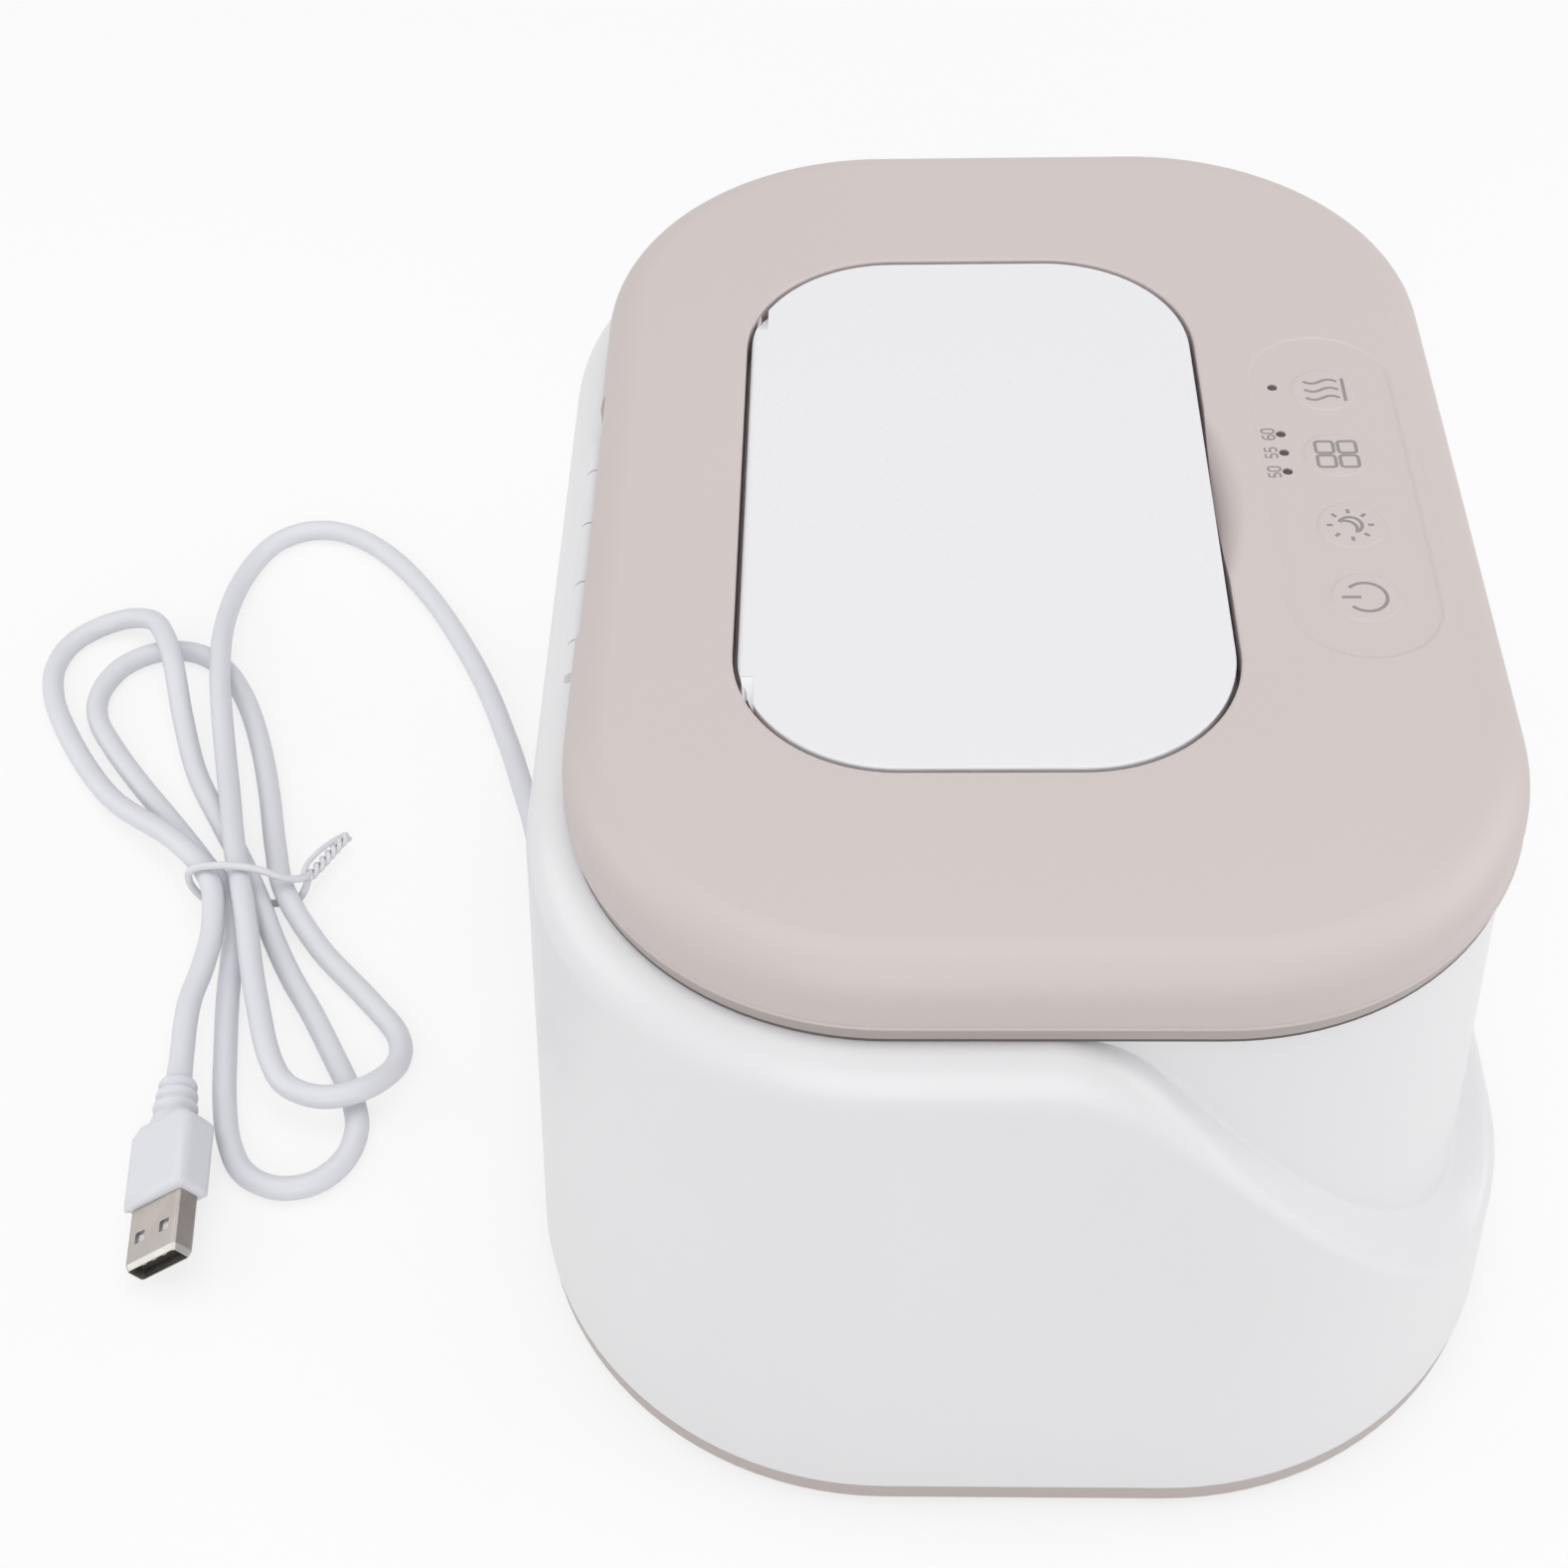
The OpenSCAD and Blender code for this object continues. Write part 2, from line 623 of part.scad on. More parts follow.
mouth_t = 1.2;                      // web that the slot is cut in
slot_x = 64;
slot_y = 12;
module dispensing_mouth() color([0.90, 0.90, 0.91])
    difference() {
        union() {
            translate([0, 0, well_z - well_t - mouth_t]) linear_extrude(well_t + mouth_t) mouth_outline(-0.1);
            // thin flange on the well's floor
            translate([0, 0, well_z]) linear_extrude(0.4) mouth_outline(1.4);
        }
        translate([0, 0, well_z - well_t]) linear_extrude(lid_h) mouth_outline(-2);
        translate([0, mouth_y, liner_z]) linear_extrude(lid_h) rounded(slot_x, slot_y, slot_y / 2 - 0.1);
    }

// ---------- flap ----------

flap_pin_x0 = corner_start - 1.5;
flap_pin_x1 = corner_start + 14.5;
corner_x0 = corner_start + 4.9;     // the flap's back corners are stepped down from here
corner_x1 = corner_start + 7.1;     // and lower from here, to pass the lid's edge
corner_drop = [0.52, -0.6];         // heights of the two steps above the hinge axis
module flap_cover() color([0.95, 0.95, 0.96])
    difference() {
        translate([0, 0, flap_top - flap_t]) linear_extrude(flap_t) flap_outline(0);
        // hinge edge rounded about the pins
        difference() {
            translate([-flap_len, axis_y, flap_top - 10]) cube([2 * flap_len, 10, 20]);
            rod_x(flap_roll, -flap_len, flap_len, axis_y, axis_z);
        }
        for (s = [0, 1]) mirror([s, 0, 0]) {
            rod_x(flap_pin_d / 2 + pin_clear, flap_pin_x0 - 0.5, flap_pin_x1, axis_y, axis_z);
            // steps in the back corners
            translate([corner_x0, axis_y - flap_roll - 0.3, axis_z + corner_drop[0]]) cube([10, 10, 10]);
            translate([corner_x1, axis_y - flap_roll - 0.3, axis_z + corner_drop[1]]) cube([10, 10, 10]);
        }
        // seat of the seal
        translate([0, 0, flap_top - flap_t - 1]) linear_extrude(1 + seal_sink) flap_seal_outline();
    }

flap_seal_in = 1.8;                 // round the mouth, from its edge
flap_seal_out = 4;
module flap_seal_outline() difference() {
    mouth_outline(flap_seal_out);
    mouth_outline(flap_seal_in);
}

module flap_seal() color([0.88, 0.88, 0.88])
    translate([0, 0, well_z + seam]) linear_extrude(flap_top - flap_t + seal_sink - well_z - seam)
        flap_seal_outline();

module flap_pins() color([0.75, 0.76, 0.78])
    for (s = [0, 1]) mirror([s, 0, 0]) rod_x(flap_pin_d / 2, flap_pin_x0, flap_pin_x1, axis_y, axis_z);

// ---------- lead, hank, tail and plug ----------

// Points of a smooth curve through a route, n to a stretch
function spline(p, n) = [for (i = [0:len(p) - 2], k = [0:n - 1]) let (t = k / n,
    a = p[max(i - 1, 0)], b = p[i], c = p[i + 1], d = p[min(i + 2, len(p) - 1)])
    0.5 * (2 * b + (c - a) * t + (2 * a - 5 * b + 4 * c - d) * t * t
    + (3 * b - a - 3 * c + d) * t * t * t)];
function whole(p, n) = concat(spline(p, n), [p[len(p) - 1]]);
function slice(p, from, to) = [for (i = [from:to]) p[i]];
function unit(v) = v / norm(v);
function run_dir(q, i) = unit(q[min(i + 1, len(q) - 1)] - q[max(i - 1, 0)]);
function ring(c, t, r, n) = let (s = unit(cross(t, [0, 0, 1])), u = cross(s, t))
    [for (k = [0:n - 1]) c + r * (cos(360 * k / n) * s + sin(360 * k / n) * u)];

// A round tube along the points q, from one of them to another
module tube(q, from, to, r, n) {
    m = to - from + 1;
    pts = [for (i = [from:to]) each ring(q[i], run_dir(q, i), r, n)];
    sides = [for (i = [0:m - 2], k = [0:n - 1]) let (a = i * n + k, b = i * n + (k + 1) % n)
        each [[a, b, b + n], [a, b + n, a + n]]];
    caps = [for (k = [1:n - 2]) each [[0, k + 1, k], [(m - 1) * n, (m - 1) * n + k, (m - 1) * n + k + 1]]];
    polyhedron(points = pts, faces = concat(sides, caps));
}

cr = cord_d / 2;
tie_x = 17;
// From the gland, down to the table and round behind the body to the tie
lead_route = [[gland_x, gland_y, gland_z], [8.13, 79.3, gland_z], [9.2, 82.6, gland_z],
    [11.7, 85.2, 12], [15.3, 86.8, 11.2], [21.6, 88, 10], [28, 89.4, 8.6], [34.5, 91.1, 7.3], [40.7, 93, 6],
    [47.3, 95, 4.7], [53.9, 97, 3.5], [60.9, 99.4, 2.6], [72.6, 103.8, 2.2], [84.6, 109.4, 2.2],
    [97, 116.2, 2.2], [107, 122.8, 2.2], [115.3, 129.6, 2.2], [121.6, 136.8, 2.2], [125, 144, 2.2],
    [125, 151, 2.2], [121.6, 156.8, 2.2], [115.5, 160.6, 2.2], [107, 162.8, 2.8], [97, 163.2, 4.6],
    [86, 162.3, 7], [76, 160.9, 7.5], [66, 159, 7], [53, 156, 6], [40, 152.6, 7], [28, 149.6, 8.2]];
// Two long loops to each side of the tie, the last strand leaving over the others
hank_route = [[28, 149.6, 8.2], [17, 146.3, 8.6], [6, 143.2, 8], [-3, 141, 7.2], [-13, 138, 7],
    [-24, 134.2, 7.1], [-31, 129.8, 7.2], [-34, 122.5, 7.6], [-31.8, 115.2, 7.3], [-25, 110.8, 4.8],
    [-16.8, 111.8, 2.7], [-8, 118.6, 2.2], [4, 129.4, 2.2], [17, 138.2, 4], [30, 142.5, 2.2],
    [44, 146, 2.2], [56, 149.5, 2.2], [67, 153.6, 2.2], [75, 157.6, 2.2], [81.5, 162.4, 2.2],
    [86, 169.4, 2.2], [86, 177.6, 2.2], [81.2, 184.4, 2.2], [73.4, 187.2, 2.2], [66, 186, 2.2],
    [58, 181.2, 2.2], [48, 173.8, 2.2], [36, 164, 2.2], [26, 156.2, 2.2], [17, 149.8, 4], [6, 147, 2.2],
    [-8, 145.5, 2.2], [-20, 143.8, 2.2], [-31, 142, 2.2], [-40, 139.6, 2.2], [-46.6, 135.8, 2.2],
    [-49.8, 129.4, 2.2], [-48.6, 122.6, 2.2], [-43.6, 118, 2.2], [-36.8, 116.8, 2.2], [-29.5, 119, 2.2],
    [-21, 123.4, 2.2], [-11, 129, 2.2], [-3, 134, 2.2], [6, 138.8, 2.4], [17, 144, 4], [28, 149.6, 2.6],
    [37, 154.8, 2.2], [50, 162, 2.2], [64, 167.2, 3.8], [77, 171, 7.4], [85, 174.2, 7.6],
    [91.6, 178.4, 6.4], [95, 185, 3.8], [93.6, 191.8, 2.4], [88.6, 196.8, 2.2], [81.4, 198.6, 2.2],
    [73.5, 197.2, 2.2], [65, 193.4, 2.2], [53, 186, 2.2], [41, 176.5, 3.6], [28, 161.8, 7.6],
    [17, 152.4, 8.6]];
// Over the last loop and level to the plug's strain relief
tail_route = [[17, 152.4, 8.6], [6, 149.8, 7.6], [-3, 150, 7], [-11, 151, 6.9], [-17.09, 150.87, 6.9],
    [-21.56, 150.44, 6.9], [-26.03, 150.01, 6.9]];

// One smooth line through all three, two steps to a stretch, nowhere below the table, then cut
// where they meet
cord_line = whole(concat(lead_route, slice(hank_route, 1, len(hank_route) - 1),
    slice(tail_route, 1, len(tail_route) - 1)), 2);
cord_path = [for (q = cord_line) [q[0], q[1], max(q[2], cr)]];
lead_end = 2 * (len(lead_route) - 1);
hank_end = lead_end + 2 * (len(hank_route) - 1);
tail_end = len(cord_path) - 1;

// Least gap between strands, over points more than three diameters apart along the cord
along = [for (i = 0, d = 0; i < len(cord_path);
    d = d + (i + 1 < len(cord_path) ? norm(cord_path[i + 1] - cord_path[i]) : 0), i = i + 1) d];
cord_gap = min([for (i = [0:len(cord_path) - 1], j = [i + 1:1:len(cord_path) - 1])
    along[j] - along[i] > 3 * cord_d ? norm(cord_path[i] - cord_path[j]) - cord_d : cord_d]);
echo(least_gap_between_strands = cord_gap);
echo(cord_length = along[len(along) - 1]);

// Tapered sleeve that keeps the cord from kinking where it leaves the gland
module cord_sleeve() color([0.90, 0.90, 0.92])
    translate([gland_x, gland_y, gland_z]) rotate([-90, 0, 0]) difference() {
        cylinder(h = relief_out, r1 = gland_r - 0.2, r2 = cord_d / 2 + 0.6);
        translate([0, 0, -1]) cylinder(h = relief_out + 2, r = cord_d / 2 + 0.05);
    }

module cord_lead() color([0.89, 0.89, 0.92]) tube(cord_path, 0, lead_end, cr, 10);
module cord_hank() color([0.89, 0.89, 0.92]) tube(cord_path, lead_end, hank_end, cr, 6);
module cord_tail() color([0.89, 0.89, 0.92]) tube(cord_path, hank_end, tail_end, cr, 10);

tie_r = 0.8;
// In from one end, once round the five strands and out beside where it came in
tie_route = [[31.5, 129.6, 2.6], [25.5, 132.2, 3.8], [20.6, 134, 3.9], [17.6, 135, 2.6], [tie_x, 137.6, 0.9],
    [tie_x, 145, 0.85], [tie_x, 151.4, 0.9], [tie_x, 154.8, 2.6], [tie_x, 156.4, 7], [tie_x, 155.6, 10.6],
    [tie_x, 152.2, 12], [tie_x, 146.2, 12], [tie_x, 141.6, 10.6], [tie_x, 137.8, 8.4],
    [18.4, 134.6, 6.6], [22, 131.8, 6], [28, 128.6, 5.4], [33, 127, 4.6]];
tie_path = whole(tie_route, 2);
module cord_tie() color([0.93, 0.93, 0.95]) tube(tie_path, 0, len(tie_path) - 1, tie_r, 6);

// The plug lies turned on its edge on the table
plug_at = [-56.4, 147.09, 6.9];
plug_turn = 180 + 5.5;
plug_roll = 33.6;
mold_len = 18.5;
mold_w = 15.6;
mold_t = 8;
relief_len = 12;
plug_wall = 0.3;
window = 2.2;
module at_plug() translate(plug_at) rotate([0, 0, plug_turn]) rotate([plug_roll, 0, 0]) children();

module plug_body() color([0.92, 0.92, 0.94])
    at_plug() {
        difference() {
            rotate([0, -90, 0]) linear_extrude(mold_len) rounded(mold_t, mold_w, 2);
            plug_block(-1, 1, 0);
        }
        translate([-mold_len, 0, 0]) rotate([0, -90, 0]) cylinder(h = relief_len, r1 = 3.9, r2 = 2.9);
    }

// Block along the plug's metal shell from x0 to x1, drawn in by o
module plug_block(x0, x1, o)
    translate([x0, -plug_w / 2 + o, -plug_t / 2 + o]) cube([x1 - x0, plug_w - 2 * o, plug_t - 2 * o]);

module plug_shell() color([0.72, 0.71, 0.69])
    at_plug() difference() {
        plug_block(-1, plug_len, 0);
        plug_block(plug_wall, plug_len + 1, plug_wall);
        for (s = [-1, 1]) translate([5.2, s * 2.9 - window / 2, -plug_t]) cube([window, window, 2 * plug_t]);
    }

tongue_t = 1.7;
module plug_tongue() color([0.12, 0.12, 0.13])
    at_plug() translate([plug_wall, -plug_w / 2 + plug_wall, -plug_t / 2 + plug_wall])
        cube([plug_len - 0.4, plug_w - 2 * plug_wall, tongue_t]);

module plug_contacts() color([0.85, 0.70, 0.35])
    at_plug() for (i = [-1.5:1:1.5])
        translate([3, 2.4 * i - 0.5, -plug_t / 2 + plug_wall + tongue_t]) cube([7.4, 1, 0.25]);

outer_shell();
base_plate();
rubber_feet();
base_screws();
inner_tub();
heater_band();
heat_plate();
insulation_pad();
temperature_sensor();
main_board();
board_parts();
board_screws();
night_light_board();
night_light_leds();
lid_hinge_pin();
cord_gland();
lid_cover();
lid_liner();
lid_seal();
liner_screws();
touch_board();
touch_springs();
indicator_leds();
dispensing_mouth();
flap_cover();
flap_seal();
flap_pins();
cord_sleeve();
cord_lead();
cord_hank();
cord_tail();
cord_tie();
plug_body();
plug_shell();
plug_tongue();
plug_contacts();
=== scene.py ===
"""Baby wipe warmer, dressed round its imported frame: housing with a set-back front, lid with a
touch panel, dispensing flap, inner tub, and a folded cord with its plug.

Laid out as an add-on and run as a script. Lengths in the tables below are millimetres.
"""

import json
import math

import bmesh
import bpy
from bpy.props import FloatProperty, FloatVectorProperty, PointerProperty
from mathutils import Matrix, Vector


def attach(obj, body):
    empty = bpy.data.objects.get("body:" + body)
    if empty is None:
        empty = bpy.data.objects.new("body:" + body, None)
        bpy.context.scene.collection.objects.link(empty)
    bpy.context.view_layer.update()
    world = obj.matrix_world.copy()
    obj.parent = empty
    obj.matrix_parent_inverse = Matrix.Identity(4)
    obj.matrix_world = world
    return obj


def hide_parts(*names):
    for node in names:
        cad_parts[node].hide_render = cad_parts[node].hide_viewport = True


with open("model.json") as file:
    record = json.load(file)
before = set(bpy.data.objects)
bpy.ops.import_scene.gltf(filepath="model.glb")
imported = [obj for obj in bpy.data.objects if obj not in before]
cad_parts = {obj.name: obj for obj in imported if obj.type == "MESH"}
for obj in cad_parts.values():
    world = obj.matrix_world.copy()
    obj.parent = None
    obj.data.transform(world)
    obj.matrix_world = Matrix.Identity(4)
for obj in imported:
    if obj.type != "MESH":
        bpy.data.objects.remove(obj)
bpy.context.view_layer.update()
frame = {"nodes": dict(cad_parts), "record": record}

bl_info = {
    "name": "Baby wipe warmer",
    "version": (1, 0, 0),
    "blender": (4, 5, 0),
    "location": "3D View > Sidebar > Wipe warmer",
    "description": "Builds the visible pieces of a baby wipe warmer round its frame",
    "category": "Add Mesh",
}

MM = 0.001

# Body: rounded rectangle round four corner centres, the same at every height
CORNER_X, CORNER_Y = 49, 22
WALL_FOOT_R = 59.2          # radius of the outer wall at the table
DRAFT = math.tan(math.radians(3.8))
STEP = 7.5                  # how far the front is set back
WALL = 2.5
RIM_Z = 107
WALL_Z = 6
SHOULDER_R = 8

# Line of the ledge, seen along X
LEDGE_Z = 31
LEDGE_SLOPE = math.radians(51)
LEDGE_TOP_Y = 1.2
LEDGE_TOP_R = 20
LEDGE_FOOT_R = 8

HINGE = (68.5, 106.5)
KNUCKLE_R = 1.9
BAND_Z, LID_Z, TOP_Z = 107.3, 109.8, 121
LINER_BACK = 66.5
FLAP_Y = 7.5
FLAP_AXIS = (42.2, 119.8)
WELL_Z = 115.3
PANEL_Y = -48
PANEL_SINK = 0.3
GLAND = (8, 74.8, 12.5)

CORD_D = 4.4
CORD_ROUTE = [             # a point without a height lies on the table
    (8, 74.8, 12.5), (8.13, 79.3, 12.5), (9.2, 82.6, 12.5), (11.7, 85.2, 12), (15.3, 86.8, 11.2),
    (21.6, 88, 10), (28, 89.4, 8.6), (34.5, 91.1, 7.3), (40.7, 93, 6), (47.3, 95, 4.7), (53.9, 97, 3.5),
    (60.9, 99.4, 2.6), (72.6, 103.8), (84.6, 109.4), (97, 116.2), (107, 122.8), (115.3, 129.6),
    (121.6, 136.8), (125, 144), (125, 151), (121.6, 156.8), (115.5, 160.6), (107, 162.8, 2.8),
    (97, 163.2, 4.6), (86, 162.3, 7), (76, 160.9, 7.5), (66, 159, 7), (53, 156, 6), (40, 152.6, 7),
    (28, 149.6, 8.2),
    # two long loops to each side of the tie
    (17, 146.3, 8.6), (6, 143.2, 8), (-3, 141, 7.2), (-13, 138, 7), (-24, 134.2, 7.1), (-31, 129.8, 7.2),
    (-34, 122.5, 7.6), (-31.8, 115.2, 7.3), (-25, 110.8, 4.8), (-16.8, 111.8, 2.7), (-8, 118.6),
    (4, 129.4), (17, 138.2, 4), (30, 142.5), (44, 146), (56, 149.5), (67, 153.6), (75, 157.6),
    (81.5, 162.4), (86, 169.4), (86, 177.6), (81.2, 184.4), (73.4, 187.2), (66, 186), (58, 181.2),
    (48, 173.8), (36, 164), (26, 156.2), (17, 149.8, 4), (6, 147), (-8, 145.5), (-20, 143.8), (-31, 142),
    (-40, 139.6), (-46.6, 135.8), (-49.8, 129.4), (-48.6, 122.6), (-43.6, 118), (-36.8, 116.8),
    (-29.5, 119), (-21, 123.4), (-11, 129), (-3, 134), (6, 138.8, 2.4), (17, 144, 4), (28, 149.6, 2.6),
    (37, 154.8), (50, 162), (64, 167.2, 3.8), (77, 171, 7.4), (85, 174.2, 7.6), (91.6, 178.4, 6.4),
    (95, 185, 3.8), (93.6, 191.8, 2.4), (88.6, 196.8), (81.4, 198.6), (73.5, 197.2), (65, 193.4),
    (53, 186), (41, 176.5, 3.6), (28, 161.8, 7.6), (17, 152.4, 8.6),
    # over the last loop to the plug
    (6, 149.8, 7.6), (-3, 150, 7), (-11, 151, 6.9), (-17.09, 150.87, 6.9), (-21.56, 150.44, 6.9),
    (-26.03, 150.01, 6.9),
]
PLUG_AT = (-56.4, 147.09, 6.9)
PLUG_TURN, PLUG_ROLL = 185.5, 33.6
TIE_X = 17
TIE_RING = [
    (20.6, 134, 4.6), (17.8, 135, 2.8), (TIE_X, 137.6, 0.9), (TIE_X, 145, 0.85), (TIE_X, 151.4, 0.9),
    (TIE_X, 154.8, 2.6), (TIE_X, 156.4, 7), (TIE_X, 155.6, 10.6), (TIE_X, 152.2, 12), (TIE_X, 146.2, 12),
    (TIE_X, 141.6, 10.6), (TIE_X, 137.8, 8.4), (18.6, 134.8, 6.4), (20.6, 133.6, 5.4),
]
TIE_TWIST = [(20, 133.9, 5), (24, 131.9, 4.6), (28, 130.1, 4.2), (32, 128.2, 3.6)]
TIE_LOOP = [(19.2, 134.6, 6.6), (22.4, 134.2, 6.4), (26.4, 132.4, 5.8), (30.2, 129.8, 4.9),
            (32.2, 128.2, 3.9)]


# ---------- sizes and colours that a user would change ----------

def length(name, description, millimetres):
    return FloatProperty(name=name, description=description, default=millimetres * MM, min=0,
                         subtype="DISTANCE", unit="LENGTH")


def colour(name, description, red, green, blue):
    return FloatVectorProperty(name=name, description=description, default=(red, green, blue), size=3,
                               min=0, max=1, subtype="COLOR")


class WarmerSizes(bpy.types.PropertyGroup):
    """Soft edges and thin details of the visible pieces"""
    lid_fillet: length("Lid fillet", "Rounding of the lid's top edge", 7)
    lid_lower: length("Lid lower edge", "Rounding of the lid's lower edge", 0.6)
    edge: length("Moulded edge", "Rounding of a moulded piece's edges", 0.4)
    ledge_edge: length("Ledge edge", "Rounding where the outer wall turns into the ledge", 3.2)
    ledge_fillet: length("Ledge fillet", "Hollow rounding where the ledge meets the set-back front", 1.4)
    stroke: length("Mark stroke", "Width of a printed line on the touch pads", 0.56)
    digit: length("Digit height", "Height of the temperatures beside the lights", 2)
    cord: length("Cord diameter", "Outside of the cord's jacket", CORD_D)
    tie: length("Tie wire", "Diameter of the tie that holds the folds", 1.5)
    band: length("Band height", "Band that shows between the lid cover and the rim", 2.5)


class WarmerColours(bpy.types.PropertyGroup):
    """Colours of the visible finishes"""
    housing: colour("Housing", "White of the outer shell", 0.80, 0.80, 0.815)
    lid: colour("Lid", "Greyed pink-beige of the lid", 0.60, 0.535, 0.52)
    trim: colour("Trim", "Base ring and the band under the lid", 0.49, 0.43, 0.41)
    flap: colour("Flap", "White of the dispensing flap", 0.80, 0.80, 0.825)
    cord: colour("Cord", "Cool white of the cord", 0.74, 0.745, 0.79)
    mark: colour("Marks", "Grey of the printed signs", 0.28, 0.265, 0.26)


# ---------- modelling helpers ----------

def mm(point):
    return Vector(point) * MM


def only(*pieces):
    """Object mode, with just these selected and the last one active."""
    if bpy.context.mode != "OBJECT":
        bpy.ops.object.mode_set(mode="OBJECT")
    bpy.ops.object.select_all(action="DESELECT")
    for piece in pieces:
        piece.select_set(True)
        bpy.context.view_layer.objects.active = piece


def edit(piece):
    only(piece)
    bpy.ops.object.mode_set(mode="EDIT")


def place(piece):
    """Puts the piece's place into its mesh."""
    only(piece)
    bpy.ops.object.transform_apply(location=True, rotation=True, scale=True)
    return piece


def pick(piece, kind, test):
    """In edit mode, selects the edges or faces that pass the test."""
    bpy.ops.mesh.select_mode(type=kind)
    bpy.ops.mesh.select_all(action="DESELECT")
    mesh = bmesh.from_edit_mesh(piece.data)
    for item in (mesh.edges if kind == "EDGE" else mesh.faces):
        if test(item):
            item.select_set(True)
    mesh.select_flush_mode()
    bmesh.update_edit_mesh(piece.data)


def upright(edge):
    a, b = (v.co for v in edge.verts)
    return abs(a.x - b.x) < 1e-7 and abs(a.y - b.y) < 1e-7


def top_face(z):
    return lambda face: face.normal.z > 0.9 and face.calc_center_median().z > z * MM


def soften(piece, test, radius, steps):
    """Rounds the edges that pass the test; the radius is in metres."""
    edit(piece)
    pick(piece, "EDGE", test)
    bpy.ops.mesh.bevel(offset=radius, segments=steps, affect="EDGES")
    only(piece)


def block(name, centre, size, radius, z0, z1, steps=16):
    """A block with rounded upright edges."""
    only()
    bpy.ops.mesh.primitive_cube_add(size=1, location=mm((*centre, (z0 + z1) / 2)),
                                    scale=mm((*size, z1 - z0)))
    piece = place(bpy.context.object)
    piece.name = name
    if radius:
        soften(piece, upright, radius * MM, steps)
    return piece


def round_rim(piece, z, radius, steps):
    """Rounds the rim of a block's flat top or bottom."""
    soften(piece, lambda edge: all(abs(v.co.z - z * MM) < 1e-7 for v in edge.verts), radius, steps)


def carry_on(move, scale=None, centre=None):
    """In edit mode, extrudes the selected face and scales its new outline."""
    bpy.ops.mesh.extrude_region_move(TRANSFORM_OT_translate={"value": [c * MM for c in move]})
    if scale:
        bpy.ops.transform.resize(value=scale, center_override=centre)


def flare(piece, centre, size, z, radius, steps=4, lift=0.6):
    """Carries a cutter's top on in a quarter circle, so that the edge it leaves is rounded."""
    edit(piece)
    pick(piece, "FACE", top_face(z - 0.01))
    out, up = 0, 0
    for k in range(1, steps + 1):
        turn = math.pi / 2 * k / steps
        next_out, next_up = radius * (1 - math.cos(turn)), radius * math.sin(turn)
        grow = [(s + 2 * next_out) / (s + 2 * out) for s in size]
        carry_on((0, 0, next_up - up), (*grow, 1), mm((*centre, z)))
        out, up = next_out, next_up
    carry_on((0, 0, lift))
    only(piece)


def lathe(name, centre, rings, along, sides, **turned):
    """A turned solid through rings (distance along its axis, radius)."""
    only()
    first, wide = rings[0]
    start = mm([c + first * a for c, a in zip(centre, along)])
    bpy.ops.mesh.primitive_circle_add(vertices=sides, radius=wide * MM, fill_type="NGON", location=start,
                                      **turned)
    piece = place(bpy.context.object)
    piece.name = name
    edit(piece)
    bpy.ops.mesh.select_all(action="SELECT")
    for (a0, r0), (a1, r1) in zip(rings, rings[1:]):
        carry_on([(a1 - a0) * a for a in along], [1 if a else r1 / r0 for a in along], mm(centre))
    tidy_mesh(piece)
    return piece


def carve(piece, tool, how="DIFFERENCE"):
    """Cuts the tool out of the piece, or joins it on, and deletes the tool."""
    change = piece.modifiers.new("carve", "BOOLEAN")
    change.operation = how
    change.object = tool
    change.solver = "EXACT"
    only(piece)
    bpy.ops.object.modifier_apply(modifier=change.name)
    bpy.data.objects.remove(tool)


def rod(name, radius, start, end, steps=32):
    """A cylinder from one point to another."""
    a, b = mm(start), mm(end)
    only()
    bpy.ops.mesh.primitive_cylinder_add(vertices=steps, radius=radius * MM, depth=(b - a).length,
                                        location=(a + b) / 2,
                                        rotation=(b - a).to_track_quat("Z", "Y").to_euler())
    piece = place(bpy.context.object)
    piece.name = name
    return piece


def level_rod(name, radius, at, x0, x1, steps=32):
    """A rod along x at a place (y, z)."""
    return rod(name, radius, (x0, *at), (x1, *at), steps)


def smooth(piece, angle=30):
    """Smooth shading, with flat faces kept flat."""
    only(piece)
    bpy.ops.object.shade_smooth_by_angle(angle=math.radians(angle), keep_sharp_edges=True)
    even = piece.modifiers.new("even", "WEIGHTED_NORMAL")
    even.keep_sharp = True
    bpy.ops.object.modifier_apply(modifier=even.name)


def tidy_mesh(piece):
    """Merges doubles and turns all faces outwards."""
    edit(piece)
    bpy.ops.mesh.select_all(action="SELECT")
    bpy.ops.mesh.remove_doubles(threshold=1e-6)
    bpy.ops.mesh.normals_make_consistent(inside=False)
    only(piece)


def dress(piece, finish, body, slot=None, *nodes):
    """Gives a new piece its finish and body, and hides the nodes that it stands for; the slot is not used."""
    piece.data.materials.clear()
    piece.data.materials.append(FINISHES[finish])
    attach(piece, body)
    if nodes:
        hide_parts(*nodes)


def spline(points, steps):
    """Points of a smooth curve through the given ones."""
    p = [Vector(q) for q in points]
    line = []
    for i in range(len(p) - 1):
        a, b, c, d = p[max(i - 1, 0)], p[i], p[i + 1], p[min(i + 2, len(p) - 1)]
        for k in range(steps):
            t = k / steps
            line.append(0.5 * (2 * b + (c - a) * t + (2 * a - 5 * b + 4 * c - d) * t ** 2
                               + (3 * b - a - 3 * c + d) * t ** 3))
    return line + [p[-1]]


